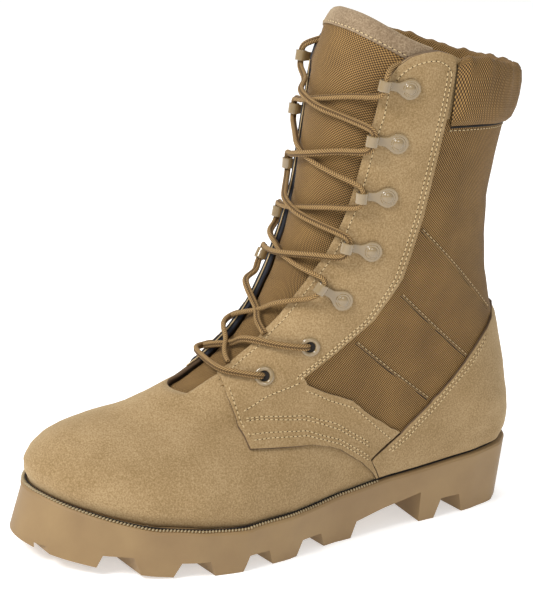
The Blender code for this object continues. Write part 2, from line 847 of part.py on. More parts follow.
def main():
    for obj in list(bpy.data.objects):
        bpy.data.objects.remove(obj, do_unlink=True)
    paint([build_sole()], "rubber")
    paint([build_insole()], "lining")
    paint([build_shell("upper", bare, -WALL)], "nylon")
    paint([build_tongue()], "nylon")
    paint([build_binding()], "binding")
    paint([build_quarter(1), build_quarter(-1)], "suede")
    paint([build_counter()], "suede")
    paint([build_cuff()], "nylon")
    for side in (1, -1):
        paint([build_hook(i, side) for i in range(5)], "painted_metal")
        paint([build_eyelet(i, side) for i in range(2)], "painted_metal")
    paint(build_laces(), "lace_cord")


main()
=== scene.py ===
"""Looks of the left jungle boot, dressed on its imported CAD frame.

Sizes are in millimetres until a mesh is made, and the frame's axes are the CAD's: toe along -Y,
outer side along +X, ground at z = 0.
"""

import bisect
import functools
import math

import bmesh
import bpy
import numpy as np
from mathutils import Matrix, Vector


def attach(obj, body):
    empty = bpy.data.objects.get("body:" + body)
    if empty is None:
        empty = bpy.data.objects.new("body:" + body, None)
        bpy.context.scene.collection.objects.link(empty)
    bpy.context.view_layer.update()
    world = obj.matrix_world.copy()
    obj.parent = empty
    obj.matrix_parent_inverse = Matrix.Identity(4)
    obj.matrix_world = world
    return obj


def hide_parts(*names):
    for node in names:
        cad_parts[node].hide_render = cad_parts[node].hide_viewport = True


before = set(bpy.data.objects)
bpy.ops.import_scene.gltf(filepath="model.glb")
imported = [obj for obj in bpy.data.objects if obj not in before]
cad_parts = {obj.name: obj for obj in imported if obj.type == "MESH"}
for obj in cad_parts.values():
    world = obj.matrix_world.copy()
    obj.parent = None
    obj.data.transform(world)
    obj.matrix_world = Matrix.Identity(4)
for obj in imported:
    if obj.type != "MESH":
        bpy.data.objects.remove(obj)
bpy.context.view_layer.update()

MM = 0.001
SIDES = ((1, "outer"), (-1, "inner"))

# Driving dimensions
LENGTH = 305.0  # sole, toe to heel
HEEL_Y = LENGTH / 2  # back of the heel
MIDDLE_X = 1.774  # brings the origin under the middle of the sole
WIDEST = 55.0  # half width of the sole at the ball
SEAT_HEIGHT = 30.0  # height of the sole's top edge for which the rings of the upper are given
TOE_SPRING = 11.0  # rise of the sole's underside at the toe
SPRING_START = 215.0  # distance from the heel where the sole starts to rise
GAP = 0.3  # between pieces that meet
WALL = 2.4  # upper wall, with its lining
OVERLAY = 1.5  # suede laid over the wall
ON_OVERLAY = GAP + OVERLAY + GAP  # just off the suede
TONGUE = 3.0  # thickness of the tongue
THROAT_RING = 10  # ring at the foot of the throat
RIM_SPAN = 0.9  # share of the rim's length, from the back, over which it rises and falls
LACE_R = 1.7  # radius of the lace in the solids
LACE_FULL = LACE_R * 1.12  # radius of the braid here, a little fuller
LACE_GIRTH = 11.0  # round the lace, for its braid
LEDGE = 2.5  # how far inside the throat's edge a lace stays up on the suede
SLOPE = 9.0  # width over which it then comes down to the tongue

# Sole outline: distance from the heel's back, half width, centre line towards the outer side
SOLE_ROWS = (
    (0.0, 0.0, 0.0),
    (4.0, 16.5, -0.2),
    (14.0, 27.8, -0.6),
    (35.0, 35.8, -1.5),
    (65.0, 39.4, -1.5),
    (100.0, 38.6, 1.5),
    (135.0, 40.4, 4.5),
    (170.0, 47.6, 6.5),
    (200.0, 53.4, 5.0),
    (225.0, 55.4, 1.6),
    (250.0, 52.4, -3.0),
    (272.0, 43.4, -6.2),
    (290.0, 30.5, -8.4),
    (301.0, 14.8, -9.6),
    (305.0, 0.0, -10.0),
)

# Height of the sole's top edge, by distance from the heel's back
TOP_ROWS = (
    (0.0, 39.5),
    (50.0, 36.5),
    (100.0, 32.6),
    (150.0, 27.6),
    (200.0, 25.4),
    (250.0, 28.4),
    (305.0, 39.0),
)

# Rings of the upper, bottom to top
RING_ROWS = (
    # z, share of the sole's rise, share of the sole's plan, inset, back, front,
    # rounding of the back and front, half widths at heel, waist and ball, front shift, rise of the rim
    (30.5, 1.0, 1.0, 5.0, 147.5, -145.5, 38.0, 60.0, 37.0, 37.0, 52.0, -9.5, 0.0),
    (36.5, 1.0, 1.0, 3.2, 150.0, -148.5, 38.0, 60.0, 38.0, 38.0, 52.0, -9.5, 0.0),
    (43.0, 0.85, 1.0, 2.8, 150.6, -149.0, 38.0, 60.0, 38.0, 38.0, 52.0, -9.5, 0.0),
    (50.0, 0.6, 0.8, 3.0, 150.3, -146.3, 38.0, 62.0, 37.5, 38.0, 47.0, -9.5, 0.0),
    (57.0, 0.3, 0.5, 4.0, 149.5, -141.5, 39.0, 66.0, 37.0, 38.0, 43.5, -9.5, 0.0),
    (63.0, 0.12, 0.25, 5.0, 148.7, -136.0, 40.0, 78.0, 37.0, 38.0, 38.5, -9.0, 0.0),
    (68.0, 0.0, 0.1, 5.0, 147.7, -127.5, 40.0, 88.0, 37.0, 38.0, 34.0, -8.5, 0.0),
    (71.2, 0.0, 0.0, 5.0, 146.8, -117.0, 41.0, 90.0, 37.0, 38.0, 31.0, -8.0, 0.0),
    (74.4, 0.0, 0.0, 5.0, 146.0, -103.0, 42.0, 84.0, 37.0, 37.8, 30.0, -7.0, 0.0),
    (79.6, 0.0, 0.0, 5.0, 144.9, -87.0, 43.0, 78.0, 37.0, 37.6, 30.5, -6.0, 0.0),
    (86.8, 0.0, 0.0, 5.0, 143.3, -69.0, 44.0, 70.0, 37.2, 37.6, 31.0, -4.5, 0.0),
    (97.0, 0.0, 0.0, 5.0, 140.2, -52.0, 46.0, 64.0, 37.4, 37.6, 32.0, -3.0, 0.0),
    (110.0, 0.0, 0.0, 5.0, 136.3, -36.0, 48.0, 60.0, 37.6, 38.0, 34.0, -1.5, 0.0),
    (126.0, 0.0, 0.0, 5.0, 130.5, -23.0, 50.0, 58.0, 38.0, 39.0, 36.5, -0.5, 0.0),
    (145.0, 0.0, 0.0, 5.0, 124.8, -13.0, 52.0, 57.0, 39.0, 41.0, 39.5, 0.0, 0.0),
    (167.0, 0.0, 0.0, 5.0, 121.2, -6.0, 54.0, 57.0, 40.5, 43.0, 42.0, 0.0, 0.0),
    (190.0, 0.0, 0.0, 5.0, 119.3, -1.5, 55.0, 57.0, 42.0, 44.5, 43.5, 0.0, 0.0),
    (214.0, 0.0, 0.0, 5.0, 121.5, 0.5, 56.0, 57.0, 43.5, 45.5, 45.0, 0.0, 0.0),
    (238.0, 0.0, 0.0, 5.0, 125.5, 2.0, 57.0, 57.0, 44.5, 46.5, 46.0, 0.0, 4.0),
    (261.0, 0.0, 0.0, 5.0, 128.5, 3.0, 58.0, 57.0, 45.5, 47.5, 47.0, 0.0, 11.0),
)

# Half width of the throat and its middle, by the height of the ring
THROAT_ROWS = (
    (30.0, 12.0, -9.0),
    (70.0, 12.0, -8.0),
    (86.0, 12.0, -5.0),
    (100.0, 13.0, -3.0),
    (120.0, 15.0, -1.0),
    (145.0, 20.0, 0.0),
    (162.0, 25.0, 0.0),
    (177.0, 28.0, 0.0),
    (205.0, 31.5, 0.0),
    (243.0, 35.5, 0.0),
    (262.0, 36.5, 0.0),
)


@functools.lru_cache(maxsize=None)
def knots(rows, column):
    """Places, values and slopes of one column."""
    xs = [r[0] for r in rows]
    ys = [r[column] for r in rows]
    slopes = np.gradient(np.array(ys, float), np.array(xs, float))
    return xs, ys, [float(v) for v in slopes]


def curve(rows, column, at):
    """Smooth value of one column at a place in the first column."""
    xs, ys, slopes = knots(rows, column)
    at = min(xs[-1], max(xs[0], at))
    k = min(len(xs) - 2, max(0, bisect.bisect_left(xs, at) - 1))
    width = xs[k + 1] - xs[k]
    t = (at - xs[k]) / width
    rise = (ys[k + 1] - ys[k]) / width
    a = slopes[k] - rise
    b = rise - slopes[k + 1]
    return ys[k] + t * width * rise + t * (1 - t) * width * (a * (1 - t) + b * -t)


# The outline rows by angle, so that the round ends stay round
OUTLINE = tuple((math.acos(1 - 2 * s / LENGTH), w, c) for s, w, c in SOLE_ROWS)
LEVELS = tuple((float(i), *row) for i, row in enumerate(RING_ROWS))
TOP_LEVEL = len(RING_ROWS) - 1.0
TOP_Z = RING_ROWS[-1][0]


def sole_angle(s):
    """Angle of a distance from the heel's back: 0 at the heel and pi at the toe."""
    return math.acos(min(1.0, max(-1.0, 1 - 2 * s / LENGTH)))


def sole_distance(angle):
    """Distance from the heel's back, the reverse of sole_angle."""
    return LENGTH * (1 - math.cos(angle)) / 2


def sole_half(s):
    """Half width of the sole."""
    return max(0.0, curve(OUTLINE, 1, sole_angle(s)))


def sole_middle(s):
    """Centre line of the sole, towards the outer side."""
    return curve(OUTLINE, 2, sole_angle(s))


def sole_top(s):
    """Height of the sole's top edge."""
    return curve(TOP_ROWS, 1, s)


def spring(s):
    """Height of the sole's underside."""
    return TOE_SPRING * max(0.0, (s - SPRING_START) / (LENGTH - SPRING_START)) ** 2


def end_round(distance, radius):
    """Share of the full width that is reached at a distance from a round end."""
    t = 1 - min(1.0, max(0.0, distance / radius))
    return math.sqrt(1 - t * t)


@functools.lru_cache(maxsize=None)
def ring_values(level):
    """Values of RING_ROWS at a level on or between its rings."""
    return tuple(curve(LEVELS, c, level) for c in range(1, 14))


def ring_point(level, angle, side):
    """Point on the upper's outer face. The angle is 0 at the back seam and pi at the front."""
    z, rise, plan, inset, back, front, r_back, r_front, heel, waist, ball, shift, rim = ring_values(level)
    u = (1 - math.cos(angle)) / 2
    y = back - u * (back - front)
    s = u * LENGTH
    widths = ((0.0, heel), (0.15, heel), (0.38, waist), (0.72, ball), (1.0, ball))
    leg = curve(widths, 1, u) * end_round(back - y, r_back) * end_round(y - front, r_front)
    foot = sole_half(s) * (1 - inset / WIDEST)
    half = plan * foot + (1 - plan) * leg
    middle = plan * sole_middle(s) + (1 - plan) * shift * u**3
    crown = max(0.0, math.sin(math.pi * min(1.0, u / RIM_SPAN))) ** 2
    lift = rise * (sole_top(HEEL_Y - y) - SEAT_HEIGHT) + rim * crown
    return np.array((middle + side * half, y, z + lift))


def ring_height(level):
    """Height of a ring, without its rise along the sole or at the rim."""
    return curve(LEVELS, 1, level)


def angle_at_y(level, y):
    """Angle where a ring reaches y."""
    back = curve(LEVELS, 5, level)
    front = curve(LEVELS, 6, level)
    u = min(1.0, max(0.0, (back - y) / (back - front)))
    return math.acos(1 - 2 * u)


def angle_at_x(level, x, side):
    """Angle in front of the widest part where the ring comes in to x."""
    low = 1.9
    high = math.pi
    for _ in range(30):
        mid = (low + high) / 2
        if side * ring_point(level, mid, side)[0] > side * x:
            low = mid
        else:
            high = mid
    return (low + high) / 2


@functools.lru_cache(maxsize=None)
def throat_edge(level, side):
    """Angle of the throat's edge."""
    z = ring_height(level)
    x = curve(THROAT_ROWS, 2, z) + side * curve(THROAT_ROWS, 1, z)
    return angle_at_x(level, x, side)


def turned_point(level, angle, side):
    """Ring point whose angle may run past the back seam or the front, onto the other side."""
    if angle < 0:
        return ring_point(level, -angle, -side)
    if angle > math.pi:
        return ring_point(level, 2 * math.pi - angle, -side)
    return ring_point(level, angle, side)


def surface(level, angle, side, out):
    """Point off the outer face by out, along the face's normal."""
    step = 0.02
    low = max(0.0, level - step)
    high = min(TOP_LEVEL, level + step)
    up = ring_point(high, angle, side) - ring_point(low, angle, side)
    along = turned_point(level, angle + step, side) - turned_point(level, angle - step, side)
    normal = np.cross(up, along) * side
    normal /= np.linalg.norm(normal)
    return ring_point(level, angle, side) + normal * out


def at_turn(level, turn, out):
    """Point off the upper at a turn from the back seam, positive towards the outer side."""
    return surface(level, abs(turn), 1 if turn >= 0 else -1, out)


def level_of(z):
    """Level whose ring has this height."""
    low = 0.0
    high = TOP_LEVEL
    for _ in range(30):
        mid = (low + high) / 2
        if ring_height(mid) < z:
            low = mid
        else:
            high = mid
    return (low + high) / 2


def evenly(low, high, count):
    """Even steps from low to high, both of them included."""
    return [low + (high - low) * i / (count - 1) for i in range(count)]


def between(rows, at, column=1):
    """Value of one column of a table, on a straight line between its rows."""
    return float(np.interp(at, [r[0] for r in rows], [r[column] for r in rows]))


def along_section(section, t):
    """Values of every column of a section, at a row number with a fraction."""
    return [float(np.interp(t, range(len(section)), column)) for column in zip(*section)]


# Hooks, top to bottom: level and angle of the rivet, then the tip's distance out, y and z
HOOK_ROWS = (
    (18.75, 2.03, 40.5, 17.7, 261.0),
    (17.6, 2.05, 36.0, 17.3, 231.0),
    (16.4, 2.05, 31.3, 15.8, 200.0),
    (15.1, 2.09, 27.6, 13.4, 172.0),
    (13.8, 2.21, 23.6, 1.9, 149.0),
)
HOOK_TUBE = 3.4  # outer radius of the rolled end
HOOK_WALL = 0.9
HOOK_REACH = 14.8  # from the rivet to where the plate starts to roll
HOOK_CURL = 4.9  # turn of the rolled end, in radians
BESIDE_HOOK = 5.5  # from the middle of a rolled end to where the lace is clear of it

# Eyelets, top to bottom: level and angle
EYELET_ROWS = ((12.3, 2.27), (11.1, 2.41))
EYELET_RADIUS = 4.25  # middle of the rolled rim
EYELET_RIM = 1.3  # half width of the rim

# Tongue: height, half width, lean towards the heel
TONGUE_ROWS = (
    (80.0, 14.0, 1.5),
    (100.0, 18.0, 0.6),
    (145.0, 27.0, 0.0),
    (177.0, 35.0, 0.0),
    (205.0, 38.0, 0.0),
    (240.0, 40.0, 0.5),
    (262.0, 42.0, 2.0),
    (280.0, 45.5, 7.0),
    (294.0, 46.0, 15.0),
)
TONGUE_SEAT = WALL + GAP + 1.1  # front face of the tongue below the upper's outer face
TONGUE_FOOT = 82.0
TONGUE_TOP = 293.0
TONGUE_DROP = 15.0  # how far the top corners sit below the middle
TONGUE_ROUND = 2.4  # how late the top edge turns down towards its corners
TONGUE_WIDTH = 84.0  # flat sizes, for its weave
TONGUE_LENGTH = 215.0


def tongue_point(across, z, out):
    """Point off the tongue's front face. Across runs from -1 to 1, towards the outer side."""
    level = level_of(min(z, TOP_Z))
    half = curve(TONGUE_ROWS, 1, z)
    middle = curve(THROAT_ROWS, 2, z)
    side = 1 if across >= 0 else -1
    angle = angle_at_x(level, middle + across * half, side)
    p = surface(level, angle, side, out - TONGUE_SEAT)
    rim = ring_point(level, angle, side)[2] - ring_height(level)
    p[2] += z - min(z, TOP_Z) - rim
    p[1] += curve(TONGUE_ROWS, 2, z)
    return p


def tongue_share(across, share, out):
    """Point off the tongue at a share of its height, with the top edge falling off to its corners."""
    top = TONGUE_TOP - TONGUE_DROP * abs(across) ** TONGUE_ROUND
    return tongue_point(across, TONGUE_FOOT + share * (top - TONGUE_FOOT), out)


def outline_point(angle, side, out):
    """Point of the sole's outline, moved off it by out."""
    step = 0.01

    def at(a):
        turned = side
        if a < 0:
            a = -a
            turned = -side
        if a > math.pi:
            a = 2 * math.pi - a
            turned = -side
        s = sole_distance(a)
        return Vector((sole_middle(s) + turned * sole_half(s), HEEL_Y - s))

    along = at(angle + step) - at(angle - step)
    normal = Vector((-along.y, along.x)).normalized() * side
    return at(angle) + normal * out


# Gaps between lugs: distance from the heel of both edges at the ground, depth, side
GAP_ROWS = tuple(
    (start, end, depth, side)
    for start, end, depth in (
        (39.2, 60.4, 12.0),
        (141.8, 163.9, 9.0),
        (181.0, 201.3, 9.0),
        (217.5, 239.8, 9.0),
        (255.3, 275.0, 9.0),
        (291.5, 296.5, 4.0),
    )
    for side in (1, -1)
)
LUG_SKEW = 9.0  # how far a gap's inner end lies towards the toe
LUG_LEAD = 4.0  # how far its outer end lies towards the heel
LUG_TAPER = 0.17  # how much each side of a gap closes at its roof, as a share of its width
GROOVE = 5.0  # half width of the groove along the middle

# Hollow under the arch, seen from the side: distance from the heel and height, below and above
ARCH_REAR = ((75.0, -5.0), (76.5, 19.3))
ARCH_FRONT = ((126.5, -5.0), (122.0, 10.0))
BEYOND = 80.0  # further out than either side of the sole


def frame_at(level, angle, side):
    """Seat on the suede and the outward normal there."""
    seat = surface(level, angle, side, ON_OVERLAY)
    normal = surface(level, angle, side, ON_OVERLAY + 1.0) - seat
    return Vector(seat), Vector(normal).normalized()


def hook_frame(index, side):
    """Seat, forward, upward and outward directions of a hook, and the middle of its rolled end."""
    level, angle, out, y, z = HOOK_ROWS[index]
    seat, normal = frame_at(level, angle, side)
    forward = Vector((side * out, y, z)) - seat
    forward = (forward - normal * forward.dot(normal)).normalized()
    upward = normal.cross(forward) * (-side)
    if upward.z < 0:
        upward = -upward
    return seat, forward, upward, normal, seat + forward * HOOK_REACH + normal * (HOOK_TUBE + 0.1)


def over_front(x, z, lift):
    """Middle of a lace on the suede, coming down to the tongue over SLOPE from the throat's edge."""
    middle = curve(THROAT_ROWS, 2, z)
    side = 1 if x > middle else -1
    level = level_of(z)
    inside = curve(THROAT_ROWS, 1, z) - abs(x - middle)
    share = min(1.0, max(0.0, (inside - LEDGE) / SLOPE))
    out = ON_OVERLAY * (1 - share) - TONGUE_SEAT * share + LACE_R + 1.0 + lift
    p = Vector(surface(level, angle_at_x(level, x, side), side, out))
    p.y += curve(TONGUE_ROWS, 2, z) * share
    return p


def span(start, end, lift):
    """Points of a lace between two places. It lies on the boot's front, and is lifted in the middle."""
    points = []
    for t in (0.2, 0.36, 0.5, 0.64, 0.8):
        p = start.lerp(end, t)
        points.append(over_front(p.x * 0.92, p.z, lift if 0.3 < t < 0.7 else 0.0))
    return points


def on_suede(index, side, share):
    """Lace on the suede, a share of the way from an eyelet to the throat's edge."""
    level, angle = EYELET_ROWS[index]
    edge = throat_edge(level, side)
    return Vector(surface(level, angle + (edge - angle) * share, side, ON_OVERLAY + LACE_R + 0.9))


# Mesh helpers


def place_point(p):
    """A point in mm, in the frame's metres."""
    return Vector(((p[0] - MIDDLE_X) * MM, p[1] * MM, p[2] * MM))


def finish_piece(bm, name, mats, smooth_angle):
    """Object of a finished bmesh, riding on the boot."""
    mesh = bpy.data.meshes.new(name)
    bm.to_mesh(mesh)
    bm.free()
    obj = bpy.data.objects.new(name, mesh)
    bpy.context.collection.objects.link(obj)
    for mat in mats:
        mesh.materials.append(mat)
    mesh.shade_smooth()
    mesh.set_sharp_from_angle(angle=math.radians(smooth_angle))
    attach(obj, "root")
    return obj


def grid_bmesh(cols, rows, place, lay=None, closed=False):
    """Grid whose point at shares (a, b) is place(a, b) in mm, with its UV map in mm from lay(a, b)."""
    bm = bmesh.new()
    bmesh.ops.create_grid(bm, x_segments=cols, y_segments=rows, size=1.0)
    uv = bm.loops.layers.uv.new("UVMap")
    shares = {}
    for v in bm.verts:
        shares[v] = ((v.co.x + 1) / 2, (v.co.y + 1) / 2)
    for face in bm.faces:
        for loop in face.loops:
            a, b = shares[loop.vert]
            loop[uv].uv = lay(a, b) if lay else (a * 100.0, b * 100.0)
    for v, (a, b) in shares.items():
        v.co = place_point(place(a, b))
    if closed:
        bmesh.ops.remove_doubles(bm, verts=bm.verts, dist=0.005 * MM)
    bm.normal_update()
    return bm


def face_out(bm, outward):
    """Turns the faces so that most of them look along outward(centre)."""
    total = 0.0
    for face in bm.faces:
        total += face.normal.dot(outward(face.calc_center_median())) * face.calc_area()
    if total < 0:
        bmesh.ops.reverse_faces(bm, faces=bm.faces)


LEG_Y = 60.0  # middle of the leg
BALL_Y = -90.0  # front end of the foot's middle line
FOOT_HIGH = 90.0  # top of the foot
FOOT_Z = 45.0  # middle of the foot's height


def from_axis(centre):
    """Away from the middle of the leg, or of the foot in front of it."""
    if centre.z >= FOOT_HIGH * MM:
        return Vector((centre.x, centre.y - LEG_Y * MM, 0.0))
    y = min(LEG_Y * MM, max(BALL_Y * MM, centre.y))
    return Vector((centre.x, centre.y - y, 0.3 * (centre.z - FOOT_Z * MM)))


def wall(obj, thick, lining=None, rim=None):
    """Gives a skin its thickness, inwards, with its own materials inside and on the rim."""
    mod = obj.modifiers.new("wall", "SOLIDIFY")
    mod.thickness = thick * MM
    mod.offset = -1.0
    mod.use_even_offset = False
    if lining is not None:
        mod.material_offset = lining
    if rim is not None:
        mod.material_offset_rim = rim


def soft_edge(obj, width, angle=45.0):
    """Rounds the edges that turn by more than angle degrees."""
    mod = obj.modifiers.new("edge", "BEVEL")
    mod.width = width * MM
    mod.segments = 2
    mod.limit_method = "ANGLE"
    mod.angle_limit = math.radians(angle)


# Materials


def linear(code):
    """Linear colour from an sRGB hex code."""
    values = [int(code[i : i + 2], 16) / 255 for i in (0, 2, 4)]
    return tuple(v / 12.92 if v <= 0.04045 else ((v + 0.055) / 1.055) ** 2.4 for v in values) + (1.0,)


def per_mm(size):
    """Scale of a noise whose spots are about size mm wide."""
    return 1 / (size * MM)


def set_stops(elements, stops):
    """Colours of a ramp, each a place and an sRGB hex code."""
    elements[0].position, elements[0].color = stops[0][0], linear(stops[0][1])
    elements[1].position, elements[1].color = stops[-1][0], linear(stops[-1][1])
    for position, code in stops[1:-1]:
        elements.new(position).color = linear(code)


def add(tree, kind, settings=None, links=None):
    """Adds a node with its settings, by property or socket name, and its input links."""
    node = tree.nodes.new(kind)
    for key, value in (settings or {}).items():
        if key == "stops":
            set_stops(node.color_ramp.elements, value)
        elif isinstance(key, str) and hasattr(node, key):
            setattr(node, key, value)
        else:
            node.inputs[key].default_value = value
    for key, source in (links or {}).items():
        tree.links.new(source, node.inputs[key])
    return node


def start_material(name, sockets):
    """Material with its constants set on the shader's own sockets."""
    mat = bpy.data.materials.new(name)
    mat.use_nodes = True
    shader = mat.node_tree.nodes["Principled BSDF"]
    for key, value in sockets.items():
        shader.inputs[key].default_value = value
    return mat, mat.node_tree, shader


def wire(tree, shader, colour, bump):
    """Joins a colour and a bump to the shader."""
    tree.links.new(colour.outputs["Color"], shader.inputs["Base Color"])
    tree.links.new(bump.outputs["Normal"], shader.inputs["Normal"])


CLOUD = 22.0  # width of the brushed patches on suede
NAP = 0.9  # the real nap is about 0.2 mm long: drawn coarser, so that it shows in the render


def suede_leather(name, dark, mid, light):
    """Roughout cowhide: a short nap that scatters light, with soft cloudy changes of tone."""
    sockets = {"Roughness": 0.93, "IOR": 1.5, "Sheen Weight": 0.35, "Sheen Roughness": 0.5}
    mat, tree, shader = start_material(name, sockets | {"Sheen Tint": linear("E8D2A8")})
    coord = add(tree, "ShaderNodeTexCoord").outputs["Object"]
    cloud = add(tree, "ShaderNodeTexNoise", {"Scale": per_mm(CLOUD), "Detail": 2.0}, {"Vector": coord})
    nap_settings = {"Scale": per_mm(NAP), "Detail": 3.0, "Roughness": 0.6}
    nap = add(tree, "ShaderNodeTexNoise", nap_settings, {"Vector": coord})
    fine = add(tree, "ShaderNodeMath", {"operation": "MULTIPLY", 1: 0.75}, {0: nap.outputs["Fac"]})
    mixed = {0: cloud.outputs["Fac"], 2: fine.outputs[0]}
    both = add(tree, "ShaderNodeMath", {"operation": "MULTIPLY_ADD", 1: 0.25}, mixed)
    stops = ((0.36, dark), (0.5, mid), (0.64, light))
    colour = add(tree, "ShaderNodeValToRGB", {"stops": stops}, {"Fac": both.outputs[0]})
    relief = {"Strength": 0.35, "Distance": 0.5 * MM}
    bump = add(tree, "ShaderNodeBump", relief, {"Height": nap.outputs["Fac"]})
    wire(tree, shader, colour, bump)
    return mat


YARN = 0.75  # width of a nylon yarn: real ones are about 0.5 mm, drawn coarser so that they show
FADE = 20.0  # width of the patches where the nylon is a little lighter or darker


def woven_nylon(name, dark, mid, light):
    """Heavy basket-woven nylon: each crossing of the yarns stands up, with painted highlight on it and
    painted shade, near black, in the hollows between the yarns.
    """
    mat, tree, shader = start_material(name, {"Roughness": 0.8, "IOR": 1.53, "Specular IOR Level": 0.3})
    uv = add(tree, "ShaderNodeUVMap", {"uv_map": "UVMap"})
    split = add(tree, "ShaderNodeSeparateXYZ", links={"Vector": uv.outputs["UV"]})
    waves = []
    for axis in ("X", "Y"):
        by_yarn = {"operation": "MULTIPLY", 1: math.pi / YARN}
        turn = add(tree, "ShaderNodeMath", by_yarn, {0: split.outputs[axis]})
        waves.append(add(tree, "ShaderNodeMath", {"operation": "SINE"}, {0: turn.outputs[0]}))
    crossed = {0: waves[0].outputs[0], 1: waves[1].outputs[0]}
    weave = add(tree, "ShaderNodeMath", {"operation": "MULTIPLY"}, crossed)
    to_share = {"operation": "MULTIPLY_ADD", 1: 0.5, 2: 0.5}
    height = add(tree, "ShaderNodeMath", to_share, {0: weave.outputs[0]})
    coord = add(tree, "ShaderNodeTexCoord").outputs["Object"]
    cloud = add(tree, "ShaderNodeTexNoise", {"Scale": per_mm(FADE), "Detail": 2.0}, {"Vector": coord})
    faint = {"operation": "MULTIPLY_ADD", 1: 0.25, 2: -0.125}
    shade = add(tree, "ShaderNodeMath", faint, {0: cloud.outputs["Fac"]})
    # Painted light: the weave's height, which also makes the bump, lightens the raised crossings and darkens
    # the hollows. The faint patches are the nylon's own tone.
    tone = add(tree, "ShaderNodeMath", {"operation": "ADD"}, {0: height.outputs[0], 1: shade.outputs[0]})
    stops = ((0.1, dark), (0.5, mid), (0.95, light))
    colour = add(tree, "ShaderNodeValToRGB", {"stops": stops}, {"Fac": tone.outputs[0]})
    relief = {"Strength": 0.6, "Distance": 0.4 * MM}
    bump = add(tree, "ShaderNodeBump", relief, {"Height": height.outputs[0]})
    wire(tree, shader, colour, bump)
    return mat


BLOOM = 30.0  # width of the patches of bloom on the rubber
MOULD_GRAIN = 1.2  # grain of the mould, drawn coarser than its real 0.3 mm


def moulded_rubber(name, dark, light):
    """Moulded outsole rubber: matt, with a faint bloom and a fine grain from the mould."""
    mat, tree, shader = start_material(name, {"Roughness": 0.62, "IOR": 1.52})
    coord = add(tree, "ShaderNodeTexCoord").outputs["Object"]
    bloom = add(tree, "ShaderNodeTexNoise", {"Scale": per_mm(BLOOM), "Detail": 4.0}, {"Vector": coord})
    grain = add(tree, "ShaderNodeTexNoise", {"Scale": per_mm(MOULD_GRAIN), "Detail": 2.0}, {"Vector": coord})
    stops = ((0.35, dark), (0.65, light))
    colour = add(tree, "ShaderNodeValToRGB", {"stops": stops}, {"Fac": bloom.outputs["Fac"]})
    relief = {"Strength": 0.1, "Distance": 0.3 * MM}
    bump = add(tree, "ShaderNodeBump", relief, {"Height": grain.outputs["Fac"]})
    wire(tree, shader, colour, bump)
    return mat


BRAID = 1.5  # length of a braid's yarn along the lace, drawn coarser than its real 1 mm
BRAID_GROOVE_SHADE = 0.9  # half width of the groove's painted shade


def braided_cord(name, dark, light):
    """Braided polyester lace: yarns cross in a herringbone, with painted shade between the yarns and in the
    groove along each face.
    """
    mat, tree, shader = start_material(name, {"Roughness": 0.8, "IOR": 1.53, "Specular IOR Level": 0.3})
    uv = add(tree, "ShaderNodeUVMap", {"uv_map": "UVMap"})
    split = add(tree, "ShaderNodeSeparateXYZ", links={"Vector": uv.outputs["UV"]})
    by_quarter = {"operation": "PINGPONG", 1: LACE_GIRTH / 4}
    fold = add(tree, "ShaderNodeMath", by_quarter, {0: split.outputs["X"]})
    slant = add(tree, "ShaderNodeMath", {"operation": "ADD"}, {0: fold.outputs[0], 1: split.outputs["Y"]})
    by_yarn = {"operation": "MULTIPLY", 1: 2 * math.pi / BRAID}
    turn = add(tree, "ShaderNodeMath", by_yarn, {0: slant.outputs[0]})
    yarn = add(tree, "ShaderNodeMath", {"operation": "SINE"}, {0: turn.outputs[0]})
    to_share = {"operation": "MULTIPLY_ADD", 1: 0.5, 2: 0.5}
    height = add(tree, "ShaderNodeMath", to_share, {0: yarn.outputs[0]})
    # Painted shade: the colour darkens between the yarns and in the groove along each face.
    by_groove = {"operation": "MULTIPLY", 1: 1 / BRAID_GROOVE_SHADE, "use_clamp": True}
    groove = add(tree, "ShaderNodeMath", by_groove, {0: fold.outputs[0]})
    shaded_in_groove = {0: height.outputs[0], 1: groove.outputs[0]}
    tone = add(tree, "ShaderNodeMath", {"operation": "MULTIPLY"}, shaded_in_groove)
    stops = ((0.05, dark), (0.9, light))
    colour = add(tree, "ShaderNodeValToRGB", {"stops": stops}, {"Fac": tone.outputs[0]})
    relief = {"Strength": 0.7, "Distance": 0.4 * MM}
    bump = add(tree, "ShaderNodeBump", relief, {"Height": tone.outputs[0]})
    wire(tree, shader, colour, bump)
    return mat


def plain_finish(name, code, rough, coat=0.0, grain=0.8, strength=0.08):
    """Even finish with a fine grain, given in mm."""
    mat, tree, shader = start_material(name, {"Roughness": rough, "IOR": 1.5, "Coat Weight": coat})
    shader.inputs["Base Color"].default_value = linear(code)
    coord = add(tree, "ShaderNodeTexCoord").outputs["Object"]
    noise = add(tree, "ShaderNodeTexNoise", {"Scale": per_mm(grain), "Detail": 2.0}, {"Vector": coord})
    relief = {"Strength": strength, "Distance": 0.2 * MM}
    bump = add(tree, "ShaderNodeBump", relief, {"Height": noise.outputs["Fac"]})
    tree.links.new(bump.outputs["Normal"], shader.inputs["Normal"])
    return mat


# Tan hide with its flesh side out, brushed: dusty and matt
SUEDE = suede_leather("roughout_suede", "80673F", "927852", "A48B64")
# The same hide where it is cut: darker, dull fibres
SUEDE_EDGE = plain_finish("cut_suede_edge", "5E4A35", 0.95)
# Woven nylon: golden brown yarns, with painted highlight where they cross and painted shade, near black,
# between them
NYLON = woven_nylon("woven_nylon", "20150A", "654A25", "AE8850")
# Moulded rubber: even tan, a little pinker than the suede
RUBBER = moulded_rubber("moulded_rubber", "836843", "8E734B")
# Knitted lining: dull, with an open mesh
LINING = plain_finish("lining_mesh", "6B5335", 0.95, grain=2.0, strength=0.4)
# Braided polyester: light yarns, with painted shade between them and in the groove
LACE = braided_cord("braided_lace", "4A3419", "B08E5C")
# Brass under tan enamel: even colour with a clear gloss
PAINT = plain_finish("painted_brass", "87724F", 0.25, coat=1.0, strength=0.02)
